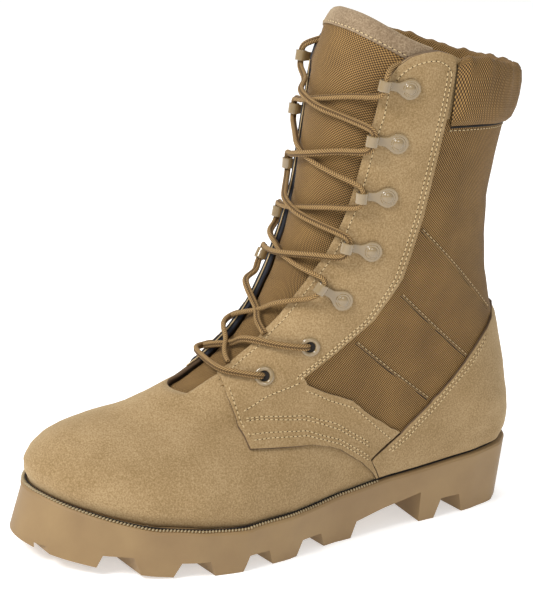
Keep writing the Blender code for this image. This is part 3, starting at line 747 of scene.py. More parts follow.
# Soft split leather, dyed: as matt as the suede, and greyer
BINDING = suede_leather("binding_leather", "6F5B43", "857057", "9B876C")
# Bonded polyester thread: pale, with a slight shine
THREAD = plain_finish("polyester_thread", "C8B084", 0.6)
# Waxed thread of the welt: the same, dulled by the wax
THREAD_WELT = plain_finish("waxed_welt_thread", "A49474", 0.6)
# Dark paint that seals a cut edge
DARK_EDGE = plain_finish("dark_edge_paint", "22242C", 0.8)
# Needle holes, grooves and the inside of an eyelet, where hardly any light comes out
SHADOW = plain_finish("dark_recess", "1A140E", 0.95)


# Upper

SLOT_SHARE = 0.85  # share of the way from the back seam to the front where the throat's edge runs
REAR_CLOSER = 1.15  # draws the columns together at the back seam
UPPER_COLUMNS = 160
UPPER_ROWS = 76
EYESTAY_BACK = 64.0  # y of the back of the eyestay's top
# Height from which the wall behind the eyestay is faced with suede, by side
FACED_FROM = {1: 240.0, -1: 257.0}


def angle_at_share(level, c, side):
    """Angle of a share of the way from the back seam to the front, with the throat's edge at SLOT_SHARE."""
    edge = throat_edge(level, side)
    if c <= SLOT_SHARE:
        return edge * (c / SLOT_SHARE) ** REAR_CLOSER
    return edge + (math.pi - edge) * (c - SLOT_SHARE) / (1 - SLOT_SHARE)


def around(a):
    """Side and share round the boot, from the back seam by the outer side to the back seam."""
    return (1, 2 * a) if a <= 0.5 else (-1, 2 - 2 * a)


# Rise of the eyestay's top above the rest of the rim: y, rise
EYESTAY_RISE = (
    (18.0, -6.0),
    (22.0, -5.0),
    (26.0, 1.5),
    (30.0, 7.0),
    (36.0, 10.8),
    (42.0, 11.3),
    (50.0, 10.3),
    (58.0, 6.5),
    (64.0, 3.0),
    (70.0, 0.0),
)
RISE_FROM = 18.2  # level where the rise starts
RISE_OVER = 0.8  # levels over which it grows to the rim


def lifted(level, angle, side, out):
    """Point off the upper, lifted with the eyestay's rounded top."""
    p = surface(level, angle, side, out)
    if p[1] > EYESTAY_RISE[0][0]:
        p[2] += max(0.0, (level - RISE_FROM) / RISE_OVER) * between(EYESTAY_RISE, p[1])
    return p


@functools.lru_cache(maxsize=None)
def upper_row(row):
    """Points round the upper at one row of its grid."""
    level = TOP_LEVEL * row / UPPER_ROWS
    points = []
    for column in range(UPPER_COLUMNS + 1):
        side, c = around(column / UPPER_COLUMNS)
        points.append(lifted(level, angle_at_share(level, c, side), side, 0.0))
    return points


@functools.lru_cache(maxsize=None)
def upper_girths(row):
    """Length round the upper from the back seam to each column of a row."""
    points = upper_row(row)
    steps = [float(np.linalg.norm(q - p)) for p, q in zip(points[:-1], points[1:])]
    return [0.0] + [float(v) for v in np.cumsum(steps)]


def upper_place(a, b):
    """Point of the upper's grid."""
    return upper_row(round(b * UPPER_ROWS))[round(a * UPPER_COLUMNS)]


def upper_lay(a, b):
    """Weave laid in mm: round the leg from the back seam, and up by the height."""
    girths = upper_girths(round(b * UPPER_ROWS))
    column = round(a * UPPER_COLUMNS)
    along = girths[column] if a <= 0.5 else girths[column] - girths[-1]
    return (along, ring_height(b * TOP_LEVEL))


# Seam between the suede vamp and the nylon, under the quarter: y, z
VAMP_SEAM = ((-60.0, 140.0), (-41.0, 80.0), (0.0, 75.0), (30.0, 60.0), (54.0, 50.0), (150.0, 45.0))


def make_upper():
    """Shell of the shaft and vamp, cut open at the throat, with its wall and lining."""
    bm = grid_bmesh(UPPER_COLUMNS, UPPER_ROWS, upper_place, upper_lay, closed=True)
    face_out(bm, from_axis)
    slot = []
    for face in bm.faces:
        x, y, z = face.calc_center_median() / MM
        faced = z > FACED_FROM[1 if x > 0 else -1] and y < EYESTAY_BACK
        face.material_index = 0 if z < between(VAMP_SEAM, y) or faced else 1
        in_front = y <= 50.0 and level_of(min(z, THROAT_ROWS[-1][0])) >= THROAT_RING + 0.02
        across = abs(x + MIDDLE_X - curve(THROAT_ROWS, 2, z))
        if in_front and across < curve(THROAT_ROWS, 1, z) - 0.05:
            slot.append(face)
    bmesh.ops.delete(bm, geom=slot, context="FACES")
    obj = finish_piece(bm, "upper_shell", [SUEDE, NYLON, LINING, LINING, SUEDE_EDGE, DARK_EDGE], 60)
    wall(obj, WALL, lining=2, rim=4)
    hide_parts("upper")


# Quarter with its eyestay, by level: front edge and back edge. An empty front edge follows the throat.
QUARTER_ROWS = (
    (0.3, 42.3, 43.9),
    (0.9, 39.8, 41.7),
    (1.6, 35.6, 39.0),
    (2.45, 29.8, 36.0),
    (3.1, 23.5, 43.0),
    (3.9, 15.3, 52.5),
    (4.35, 8.0, 56.3),
    (4.75, -3.0, 53.0),
    (4.95, -28.0, 50.0),
    (5.1, -41.0, 49.0),
    (6.7, -42.2, 38.8),
    (8.4, -42.9, 31.0),
    (9.3, -44.5, 25.0),
    (10.0, -46.0, 10.5),
    (10.6, -46.4, -2.6),
    (11.0, None, -4.8),
    (12.3, None, 16.3),
    (13.2, None, 32.0),
    (14.4, None, 45.5),
    (15.9, None, 52.8),
    (17.2, None, 56.8),
    (18.2, None, 60.5),
    (18.6, None, 61.8),
    (18.85, 25.0, 61.8),
    (18.95, 26.5, 61.0),
    (19.0, 28.5, 59.0),
)


@functools.lru_cache(maxsize=None)
def quarter_edges(level, side):
    """Front and back angles of the quarter at a level."""
    fronts = []
    for low, front, _ in QUARTER_ROWS:
        fronts.append(ring_point(low, throat_edge(low, side), side)[1] if front is None else front)
    back = angle_at_y(level, between(QUARTER_ROWS, level, 2))
    front = angle_at_y(level, float(np.interp(level, [r[0] for r in QUARTER_ROWS], fronts)))
    if 11.0 <= level <= 18.6:
        front = throat_edge(level, side)
    return front, back


def quarter_levels():
    """Levels of the rows, closer together where the outline turns."""
    levels = []
    for (low, *_), (high, *_) in zip(QUARTER_ROWS[:-1], QUARTER_ROWS[1:]):
        steps = max(2, round((high - low) / 0.22))
        levels += [low + (high - low) * i / steps for i in range(steps)]
    return levels + [QUARTER_ROWS[-1][0]]


def make_quarter(side, word):
    """Suede quarter with its eyestay, laid over the shell."""
    levels = quarter_levels()
    last = len(levels) - 1

    def place(a, b):
        level = float(np.interp(b * last, range(last + 1), levels))
        front, back = quarter_edges(level, side)
        return lifted(level, back + (front - back) * a, side, GAP + OVERLAY)

    bm = grid_bmesh(22, last, place)
    face_out(bm, from_axis)
    cut = SUEDE_EDGE if side > 0 else DARK_EDGE
    obj = finish_piece(bm, f"quarter_{word}_suede", [SUEDE, SUEDE, cut], 60)
    wall(obj, OVERLAY, lining=1, rim=2)
    soft_edge(obj, 0.3)
    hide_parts(f"quarter_{word}")


# Heel counter: level, y of its front edge
COUNTER_ROWS = (
    (0.3, 44.5),
    (0.9, 42.3),
    (2.35, 36.6),
    (3.1, 46.6),
    (4.1, 57.0),
    (6.0, 68.0),
    (8.5, 77.5),
    (10.0, 88.0),
    (11.3, 99.0),
    (12.0, 108.0),
    (12.5, 119.0),
    (12.75, 129.5),
)


def make_counter():
    """Suede heel counter, round the back from side to side."""
    low, high = COUNTER_ROWS[0][0], COUNTER_ROWS[-1][0]

    def place(a, b):
        level = low + (high - low) * b
        turn = angle_at_y(level, between(COUNTER_ROWS, level)) * (2 * a - 1)
        return at_turn(level, turn, GAP + OVERLAY)

    bm = grid_bmesh(56, 50, place)
    face_out(bm, from_axis)
    obj = finish_piece(bm, "counter_suede", [SUEDE, SUEDE, SUEDE_EDGE], 60)
    wall(obj, OVERLAY, lining=1, rim=2)
    soft_edge(obj, 0.3)
    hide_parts("counter")


# Section of the padded cuff, from its foot outside, over the rim, and down inside: level, out, lift
CUFF_SECTION = (
    (17.86, 0.35, 0.0),
    (17.87, 1.8, 0.0),
    (17.97, 3.6, 0.0),
    (18.2, 4.9, 0.0),
    (18.5, 5.2, 0.0),
    (18.8, 4.8, 0.5),
    (18.97, 3.6, 2.0),
    (18.99, 1.6, 3.4),
    (18.99, -1.0, 3.8),
    (18.99, -3.4, 2.6),
    (18.9, -4.6, 0.5),
    (18.6, -4.9, 0.0),
    (18.3, -4.2, 0.0),
    (18.15, -2.8, 0.0),
)
CUFF_END_Y = 62.9  # where the cuff meets the eyestay
CUFF_GIRTH = 210.0  # round the leg, for its weave
CUFF_HEIGHT = 56.0  # over its section, for its weave
CUFF_FADE = 8.0  # length over which the padding thins out at each end
CUFF_CREST = 8.0  # row of CUFF_SECTION on top of the rim, where the gathers are deepest
CUFF_THIN = (1.9, -2.5)  # how far the two faces stand off at the ends, outside and inside


def make_cuff():
    """Padded cuff, gathered along its top and thinned out where it meets the eyestays."""
    last = len(CUFF_SECTION) - 1

    def place(a, b):
        level, out, lift = along_section(CUFF_SECTION, b * last)
        v = angle_at_y(level, CUFF_END_Y) * (2 * a - 1)
        crest = math.exp(-(((b * last - CUFF_CREST) / 3.5) ** 2))
        gather = 0.7 * math.sin(v * 21.0) + 0.5 * math.sin(v * 34.0 + 1.3) + 0.35 * math.sin(v * 55.0 + 0.4)
        out += 0.55 * gather * crest + 0.25 * math.sin(v * 13.0 + 0.5)
        ease = math.sin(0.5 * math.pi * min(1.0, min(a, 1 - a) * CUFF_GIRTH / CUFF_FADE))
        thin = CUFF_THIN[0] if out > 0 else CUFF_THIN[1]
        out = thin + (out - thin) * ease if abs(out) > abs(thin) else out
        p = at_turn(level, v, out)
        p[2] += (lift + 0.6 * gather * crest) * ease
        return p

    def lay(a, b):
        return (a * CUFF_GIRTH, b * CUFF_HEIGHT)

    bm = grid_bmesh(150, 52, place, lay)
    face_out(bm, lambda c: from_axis(c) if c.z < 265 * MM else Vector((0, 0, 1)))
    obj = finish_piece(bm, "cuff_padding", [NYLON], 80)
    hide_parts("cuff")


def make_tongue():
    """Nylon tongue with its lining."""
    def place(a, b):
        return tongue_share(2 * a - 1, b, 0.0)

    def lay(a, b):
        return (a * TONGUE_WIDTH, b * TONGUE_LENGTH)

    bm = grid_bmesh(40, 70, place, lay)
    face_out(bm, lambda c: Vector((0, -1, 0.3)))
    obj = finish_piece(bm, "tongue_nylon", [NYLON, LINING, NYLON], 80)
    wall(obj, TONGUE, lining=1, rim=2)
    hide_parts("tongue")


# Section of the tongue's binding, from its edge in front, over the top and down behind: share, out
BINDING_SECTION = (
    (0.96, 0.1),
    (0.961, 0.9),
    (0.967, 1.2),
    (0.985, 1.2),
    (0.996, 1.0),
    (1.002, 0.2),
    (1.004, -1.3),
    (1.002, -2.8),
    (0.995, -3.6),
    (0.97, -3.8),
    (0.962, -3.2),
)


def make_binding():
    """Leather folded over the tongue's top edge."""
    last = len(BINDING_SECTION) - 1

    def place(a, b):
        share, out = along_section(BINDING_SECTION, b * last)
        return tongue_share(2 * a - 1, share, out)

    bm = grid_bmesh(60, 20, place)
    face_out(bm, lambda c: Vector((0, -1, 0.3)) if c.y < 30 * MM else Vector((0, -1, 1)))
    obj = finish_piece(bm, "tongue_binding_leather", [BINDING], 80)
    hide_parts("tongue_binding")


# Sole

# Side of the sole, top to foot: measured down from the top edge or up from the underside, height, out
SOLE_SIDE = (
    ("drop", 0.0, -1.8),
    ("drop", 0.5, -0.7),
    ("drop", 1.8, 0.0),
    ("drop", 4.4, -0.2),
    ("ground", 0.0, -2.0),
)
SOLE_STATIONS = 110
LEAN_START = 235.0  # distance from the heel where the wall starts to lean out
LEAN_LENGTH = 65.0
TOE_LEAN = {"drop": -2.2, "ground": 5.0}  # how far the wall's top and foot then move out


def toe_lean(s):
    """Share of the outward lean that the sole's wall has at the toe."""
    return min(1.0, max(0.0, (s - LEAN_START) / LEAN_LENGTH)) ** 2


def sole_ring(angle, side, row):
    """Point of the sole's wall."""
    kind, value, out = SOLE_SIDE[row]
    s = sole_distance(angle)
    p = outline_point(angle, side, out + toe_lean(s) * TOE_LEAN[kind])
    return (p.x, p.y, sole_top(s) - value if kind == "drop" else spring(s))


def cut_away(obj, cutters):
    """Takes the cutters out of a piece, one by one."""
    for cutter in cutters:
        mod = obj.modifiers.new("cut", "BOOLEAN")
        mod.operation = "DIFFERENCE"
        mod.solver = "EXACT"
        mod.object = cutter
        mesh = bpy.data.meshes.new_from_object(obj.evaluated_get(bpy.context.evaluated_depsgraph_get()))
        obj.modifiers.clear()
        obj.data = mesh
        bpy.data.objects.remove(cutter, do_unlink=True)


def cutter_block(corner):
    """Cutter from a cube whose corners, each -1 or 1 along every axis, go where corner puts them."""
    bm = bmesh.new()
    bmesh.ops.create_cube(bm, size=2.0)
    for v in bm.verts:
        v.co = place_point(corner(*v.co))
    bmesh.ops.recalc_face_normals(bm, faces=bm.faces)
    mesh = bpy.data.meshes.new("cutter")
    bm.to_mesh(mesh)
    bm.free()
    obj = bpy.data.objects.new("cutter", mesh)
    bpy.context.collection.objects.link(obj)
    return obj


def gap_block(start, end, depth, side):
    """Cutter for one gap between lugs, narrower at its roof and skewed towards the toe inside."""
    middle = sole_middle((start + end) / 2)
    floor = spring((start + end) / 2)
    taper = (end - start) * LUG_TAPER

    def corner(x, y, z):
        inner = x < 0
        skew = LUG_SKEW if inner else -LUG_LEAD
        inset = taper if z > 0 else -taper * 0.6
        s = start + inset + skew if y > 0 else end - inset + skew
        across = middle + side * (GROOVE - 1.0) if inner else side * BEYOND
        return (across, HEEL_Y - s, floor + depth if z > 0 else floor - 6.0)

    return cutter_block(corner)


def arch_block():
    """Cutter for the hollow under the arch."""
    def corner(x, y, z):
        s, height = (ARCH_REAR if y > 0 else ARCH_FRONT)[1 if z > 0 else 0]
        return (BEYOND * x, HEEL_Y - s, height)

    return cutter_block(corner)


def make_sole():
    """Moulded outsole: the walls round its outline, then the gaps and the arch cut away."""
    rows = len(SOLE_SIDE)

    def place(a, b):
        angle = math.pi * b
        index = round(a * 2 * rows) % (2 * rows)
        if index < rows:
            return sole_ring(angle, 1, index)
        return sole_ring(angle, -1, 2 * rows - 1 - index)

    bm = grid_bmesh(2 * rows, SOLE_STATIONS, place, closed=True)
    bmesh.ops.dissolve_degenerate(bm, dist=0.02 * MM, edges=bm.edges)
    bmesh.ops.holes_fill(bm, edges=bm.edges, sides=0)
    bmesh.ops.recalc_face_normals(bm, faces=bm.faces)
    obj = finish_piece(bm, "sole_rubber", [RUBBER], 35)
    cut_away(obj, [gap_block(*row) for row in GAP_ROWS] + [arch_block()])
    obj.data.shade_smooth()
    obj.data.set_sharp_from_angle(angle=math.radians(32))
    soft_edge(obj, 0.7, 38)
    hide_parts("sole")


# Cords and stitches


def smooth_path(path, pitch):
    """Points at an even pitch on a smooth curve through a path."""
    pts = [Vector(p) for p in path]
    fine = []
    for i in range(len(pts) - 1):
        p0 = pts[max(i - 1, 0)]
        p1, p2 = pts[i], pts[i + 1]
        p3 = pts[min(i + 2, len(pts) - 1)]
        for k in range(8):
            t = k / 8
            fine.append(
                0.5
                * (
                    2 * p1
                    + (p2 - p0) * t
                    + (2 * p0 - 5 * p1 + 4 * p2 - p3) * t**2
                    + (3 * p1 - p0 - 3 * p2 + p3) * t**3
                )
            )
    fine.append(pts[-1])
    lengths = [0.0]
    for p, q in zip(fine[:-1], fine[1:]):
        lengths.append(lengths[-1] + (q - p).length)
    count = max(2, round(lengths[-1] / pitch))
    at = np.linspace(0, lengths[-1], count + 1)
    flat = np.array([tuple(p) for p in fine])
    even = [Vector([float(np.interp(s, lengths, flat[:, k])) for k in range(3)]) for s in at]
    return even, lengths[-1]


EASING = 6  # passes that take the corners out of a cord's path
GROOVE_DEPTH = 0.28  # of a cord, as a share of its radius
GROOVE_SPREAD = 0.3  # of its half width


def make_cord(name, path, radius, mat, sides=14, pitch=1.6, flat=0.82):
    """Cord along a path, a little flat unless told otherwise, with a groove along its face."""
    pts, total = smooth_path(path, pitch)
    for _ in range(EASING):
        eased = [(p + 2 * q + r) / 4 for p, q, r in zip(pts[:-2], pts[1:-1], pts[2:])]
        pts = [pts[0], *eased, pts[-1]]
    frames = []
    up = None
    for i, p in enumerate(pts):
        along = (pts[min(i + 1, len(pts) - 1)] - pts[max(i - 1, 0)]).normalized()
        out = Vector((p.x * 0.4, -1.0, 0.15)) if up is None else up
        up = (out - along * out.dot(along)).normalized()
        frames.append((p, up, along.cross(up)))
    last = len(pts) - 1

    def place(a, b):
        p, up, over = frames[round(b * last)]
        turn = 2 * math.pi * a
        groove = 1 - GROOVE_DEPTH * math.exp(-((math.sin(turn) / GROOVE_SPREAD) ** 2))
        return p + up * radius * flat * groove * math.cos(turn) + over * radius * math.sin(turn)

    def lay(a, b):
        return (a * LACE_GIRTH, b * total)

    bm = grid_bmesh(sides, last, place, lay, closed=True)
    bmesh.ops.holes_fill(bm, edges=[e for e in bm.edges if e.is_boundary], sides=0)
    bmesh.ops.recalc_face_normals(bm, faces=bm.faces)
    return finish_piece(bm, name, [mat], 70)


def thin_cord(name, path, radius, mat, sides=8):
    """Thin round cord for a fold, a groove or a line."""
    return make_cord(name, path, radius, mat, sides, 4.0, 1.0)


def on_side(y, z, side, out):
    """Point off the upper at a place seen from the side."""
    low, high = 0.0, TOP_LEVEL
    for _ in range(22):
        mid = (low + high) / 2
        if ring_point(mid, angle_at_y(mid, y), side)[2] < z:
            low = mid
        else:
            high = mid
    level = (low + high) / 2
    return Vector(surface(level, angle_at_y(level, y), side, out))


def bead(bm, centre, along, normal, size):
    """One stitch or bead: a small rounded body laid along a line."""
    along = along.normalized()
    normal = (normal - along * normal.dot(along)).normalized()
    over = normal.cross(along)
    turn = Matrix((along, over, normal)).transposed().to_4x4()
    scale = Matrix.Diagonal((size[0] * MM, size[1] * MM, size[2] * MM, 1.0))
    where = Matrix.Translation(place_point(centre))
    bmesh.ops.create_uvsphere(bm, u_segments=6, v_segments=4, radius=0.5, matrix=where @ turn @ scale)


def stitch_line(bm, points, pitch=2.7, width=0.68):
    """Row of stitches along points that already lie on the surface, with a dark bead of painted shade in the
    needle hole between them.
    """
    pts, _ = smooth_path(points, pitch)
    thread = bmesh.new()
    holes = bmesh.new()
    for p, q in zip(pts[:-1], pts[1:]):
        normal = from_axis((p + q) * MM / 2).normalized()
        bead(thread, (p + q) / 2, q - p, normal, (pitch * 0.74, width, width * 0.75))
        # Painted shade: a small dark bead in each needle hole.
        bead(holes, q, q - p, normal, (0.65, width * 0.9, 0.22))
    for face in holes.faces:
        face.material_index = 1
    for part in (thread, holes):
        mesh = bpy.data.meshes.new("row")
        part.to_mesh(mesh)
        part.free()
        bm.from_mesh(mesh)
        bpy.data.meshes.remove(mesh)


def side_line(line, side, out):
    """Points on the upper along a side-view line, closely spaced."""
    pts = []
    for (y0, z0), (y1, z1) in zip(line[:-1], line[1:]):
        steps = max(2, round(math.hypot(y1 - y0, z1 - z0) / 6))
        for i in range(steps):
            pts.append(on_side(y0 + (y1 - y0) * i / steps, z0 + (z1 - z0) * i / steps, side, out))
    pts.append(on_side(*line[-1], side, out))
    return pts


OUTLINE_ROWS = (2.4, 4.8)  # insets of the two rows along the eyestay's back and the counter
LOWER_ROWS = (2.4, 4.6, 10.2, 12.4)  # insets of the rows along the quarter's lower edge
FRONT_ROW = 0.085  # angle between the throat's edge and its row

# Seams, side view: y, z, and how much each of them moves for a mm of inset
COUNTER_SEAM = (
    (46.0, 50.8, 1.0, -0.4),
    (57.0, 57.8, 1.0, -0.4),
    (76.5, 76.0, 0.8, -0.7),
    (98.0, 99.0, 0.7, -0.7),
    (111.5, 112.5, 0.0, -1.0),
)
LOWER_SEAM = (
    (-38.0, 63.8, 0.0, 1.0),
    (-28.0, 64.0, 0.0, 1.0),
    (-5.0, 63.2, 0.0, 1.0),
    (15.5, 56.5, 0.0, 1.0),
    (29.5, 48.0, 0.0, 1.0),
    (34.5, 44.6, 0.0, 1.0),
)

# Single seams of the quarter and its wing, side view: y, z
NYLON_EDGE = ((-3.5, 89.6), (10.0, 83.4), (25.0, 77.8), (38.5, 66.4), (50.0, 56.6))
WING_FRONT = ((-44.2, 92.0), (-43.0, 84.0), (-41.0, 76.0), (-38.8, 68.0))
WING_BAR = ((-39.0, 79.5), (-24.5, 87.9), (-7.6, 94.2))

# Row round the eyestay's top: y, level
EYESTAY_TOP = ((28.5, 18.72), (33.0, 18.83), (40.0, 18.87), (50.0, 18.87), (57.0, 18.82), (59.5, 18.72))

# Folded seams across the nylon, side view: y, z
NYLON_FOLDS = (
    ((53.7, 180.8), (87.5, 151.4), (117.5, 124.5)),
    ((47.2, 143.2), (72.0, 122.0), (97.9, 100.8)),
    ((23.8, 116.3), (48.0, 97.0), (74.5, 77.6)),
)


def inset_line(seam, inset):
    """Side-view line of one row of a seam."""
    return [(y + dy * inset, z + dz * inset) for y, z, dy, dz in seam]


def stitch_side(bm, side):
    """All rows of one side of the boot."""
    out = GAP + OVERLAY + 0.1
    for inset in OUTLINE_ROWS:
        back = []
        for level in evenly(10.9, 18.75, 70):
            _, angle = quarter_edges(level, side)
            y = ring_point(level, angle, side)[1] - inset
            back.append(lifted(level, angle_at_y(level, y), side, out))
        stitch_line(bm, back)
        stitch_line(bm, side_line(inset_line(COUNTER_SEAM, inset), side, out))
    for inset in LOWER_ROWS:
        stitch_line(bm, side_line(inset_line(LOWER_SEAM, inset), side, out))
    stitch_line(bm, side_line(NYLON_EDGE, side, out))
    front = []
    for level in evenly(11.1, 18.7, 60):
        edge, _ = quarter_edges(level, side)
        front.append(lifted(level, edge - FRONT_ROW, side, out))
    stitch_line(bm, front)
    stitch_line(bm, [lifted(level, angle_at_y(level, y), side, out) for y, level in EYESTAY_TOP])
    stitch_line(bm, side_line(WING_FRONT, side, out))
    stitch_line(bm, side_line(WING_BAR, side, out))
    for fold in NYLON_FOLDS:
        beside = [(y + 0.2, z + 0.4) for y, z in fold]
        stitch_line(bm, side_line(beside, side, 0.75), 3.2, 0.45)


def make_stitches():
    """Every row of stitches on the upper, as one piece."""
    bm = bmesh.new()
    for side, _ in SIDES:
        stitch_side(bm, side)
    turn = angle_at_y(17.78, 63.0)
    under_cuff = [at_turn(17.76, turn * share, 0.15) for share in evenly(-1, 1, 90)]
    stitch_line(bm, under_cuff, 2.9, 0.6)
    binding_edge = [tongue_share(c / 20, 0.9675, 1.3) for c in range(-19, 20)]
    stitch_line(bm, binding_edge, 2.9, 0.6)
    finish_piece(bm, "stitching", [THREAD, SHADOW], 60)


def make_seam_cords():
    """Folded edges of the nylon, in the lighter lace yarn as a painted highlight, with painted shadows under
    them, and cords of painted shade in the groove under the cuff and round the feather edge.
    """
    for side, word in SIDES:
        for number, fold in enumerate(NYLON_FOLDS, 1):
            # Painted highlight: the fold's ridge is drawn in the lighter lace yarn.
            thin_cord(f"nylon_fold_highlight_{word}_{number}", side_line(fold, side, -0.1), 0.8, LACE)
            under = side_line([(y - 0.5, z - 0.9) for y, z in fold], side, -0.15)
            thin_cord(f"fold_shadow_{word}_{number}", under, 0.3, SHADOW, 6)
    # Painted shade: a dark cord in the groove where the cuff meets the shell.
    turn = angle_at_y(17.84, 64.0)
    groove = [at_turn(17.83, turn * share, 0.2) for share in evenly(-1, 1, 60)]
    thin_cord("cuff_groove_shadow", groove, 0.7, SHADOW)
    # Painted shade: a dark cord in the crease where the upper meets the sole.
    ring = []
    for side, _ in SIDES:
        for i in range(90):
            angle = math.pi * (i if side > 0 else 90 - i) / 90
            s = sole_distance(angle)
            p = outline_point(angle, side, -3.0 - 1.2 * toe_lean(s))
            ring.append((p.x, p.y, sole_top(s) + 0.2))
    ring.append(ring[0])
    thin_cord("feather_line_shadow", ring, 0.6, SHADOW)


WELT_START = 108.0  # distance from the heel where the stitched welt starts
WELT_PITCH = 1.9


def make_welt():
    """Stitched welt round the forefoot: a bead laid slantwise for each turn of the thread."""
    bm = bmesh.new()
    for side, _ in SIDES:
        pts = []
        for s in evenly(WELT_START, LENGTH, 240):
            p = outline_point(sole_angle(s), side, -1.5 - 1.9 * toe_lean(s))
            pts.append(Vector((p.x, p.y, sole_top(s) + 0.35)))
        pts, _ = smooth_path(pts, WELT_PITCH)
        for p, q in zip(pts[:-1], pts[1:]):
            along = (q - p).normalized()
            outward = Vector((-along.y, along.x, 0)) * side
            bead(bm, (p + q) / 2, along * 0.5 + outward, Vector((0, 0, 1)), (2.6, 1.15, 1.1))
    finish_piece(bm, "welt_stitching", [THREAD_WELT], 60)


# Laces

# Hidden end of the lace, from the middle of the top hook: up along it, back from its tip, inwards
LACE_END = ((7.5, 1.0, 2.5), (10.5, 5.0, 6.5), (12.0, 12.0, 9.0))
CROSSING_LIFT = LACE_R * 1.5  # of the strand that lies on the other

# Hidden starts of the hooks' strands and hidden ends of the upper eyelets' ones. Each point is given
# by its distance past the middle, its height and its lift off the boot's front.
STRAND_START = ((15.5, 119.0, -2.2), (8.0, 124.0, 0.0))
STRAND_END = ((6.0, 106.0, 0.0), (13.0, 102.0, -2.2))
END_MIDDLE = -2.5  # middle of the throat between the upper eyelets


def hook_strand(side):
    """Path of one half of the lace, through every second hook of each side, bottom to top."""
    lift = 0.0 if side > 0 else CROSSING_LIFT
    lowest = len(HOOK_ROWS) - 1
    _, _, upward, _, middle = hook_frame(lowest, side)
    path = [over_front(-side * past, z, rise) for past, z, rise in STRAND_START]
    low = middle - upward * BESIDE_HOOK
    path += [*span(path[-1], low, lift), low]
    for index in range(lowest, -1, -1):
        _, forward, upward, normal, middle = hook_frame(index, side)
        path += [middle, middle + upward * BESIDE_HOOK + normal * 0.9]
        if index > 0:
            side = -side
            _, _, upward, _, middle = hook_frame(index - 1, side)
            low = middle - upward * BESIDE_HOOK
            path += [*span(path[-1], low, lift), low]
    for up, back, inward in LACE_END:
        path.append(middle + upward * up - forward * back - normal * inward)
    return path


def from_eyelet(index, side):
    """Lace coming up through an eyelet and over the suede to the throat's edge."""
    level, angle = EYELET_ROWS[index]
    hole = Vector(surface(level, angle, side, -1.5))
    rise = Vector(surface(level, angle + 0.03, side, ON_OVERLAY + 1.9))
    return [hole, rise, on_suede(index, side, 0.5), on_suede(index, side, 1.0)]


def make_laces():
    """Lace through hooks and eyelets. Its stretches under the suede are left out."""
    make_cord("lace_first_half", hook_strand(1), LACE_FULL, LACE)
    obj = make_cord("lace_second_half", hook_strand(-1), LACE_FULL, LACE)
    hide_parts("lace_hooks")
    for side, word in SIDES:
        path = from_eyelet(0, side)
        ends = [over_front(END_MIDDLE - side * past, z, rise) for past, z, rise in STRAND_END]
        path += [*span(path[-1], ends[0], 0.0 if side > 0 else CROSSING_LIFT)[1:-1], *ends]
        obj = make_cord(f"lace_middle_{word}", path, LACE_FULL, LACE)
        if side > 0:
            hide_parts("lace_upper_eyelets")
    path = from_eyelet(1, 1) + from_eyelet(1, -1)[::-1]
    obj = make_cord("lace_bottom", path, LACE_FULL, LACE)
    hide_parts("lace_lower_bar")


def make_edge_line():
    """Pale line along the dark edge of the inner eyestay."""
    path = []
    for level in evenly(THROAT_RING + 0.6, 18.9, 60):
        path.append(surface(level, throat_edge(level, -1) + 0.012, -1, 0.3))
    thin_cord("edge_line_inner", path, 0.35, THREAD)


def make_eyelets():
    """Rolled rims over a dark disc of painted shade for the hole."""
    for side, word in SIDES:
        for number, (level, angle) in enumerate(EYELET_ROWS, 1):
            seat, up = frame_at(level, angle, side)
            first = up.orthogonal().normalized()
            second = up.cross(first)

            def place(a, b):
                turn = 2 * math.pi * a
                roll = 2 * math.pi * b
                reach = EYELET_RADIUS + EYELET_RIM * math.cos(roll)
                height = 0.95 * math.sin(roll) if math.sin(roll) > 0 else 0.3 * math.sin(roll)
                return seat + (first * math.cos(turn) + second * math.sin(turn)) * reach + up * height

            bm = grid_bmesh(32, 10, place, closed=True)
            bmesh.ops.recalc_face_normals(bm, faces=bm.faces)
            obj = finish_piece(bm, f"eyelet_rim_{word}_{number}", [PAINT], 60)
            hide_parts(f"eyelet_{word}_{number}")
            # Painted shade: a dark disc inside the rim stands in for the hole.
            bm = bmesh.new()
            turn = up.to_track_quat("Z", "Y").to_matrix().to_4x4()
            where = Matrix.Translation(place_point(seat + up * 0.05))
            bmesh.ops.create_circle(bm, cap_ends=True, segments=24, radius=3.2 * MM, matrix=where @ turn)
            finish_piece(bm, f"eyelet_hole_shadow_{word}_{number}", [SHADOW], 40)


# Plate of a hook: distance from the rivet towards the tip, half width
HOOK_PLATE = (
    (-5.6, 0.3),
    (-5.3, 1.7),
    (-4.5, 3.3),
    (-3.0, 4.7),
    (-1.0, 5.5),
    (1.0, 5.5),
    (3.0, 4.7),
    (5.0, 3.4),
    (7.0, 2.4),
    (9.0, 2.3),
    (13.0, 2.5),
    (16.0, 2.9),
    (40.0, 2.9),
)
RIVET_RADIUS = 4.1


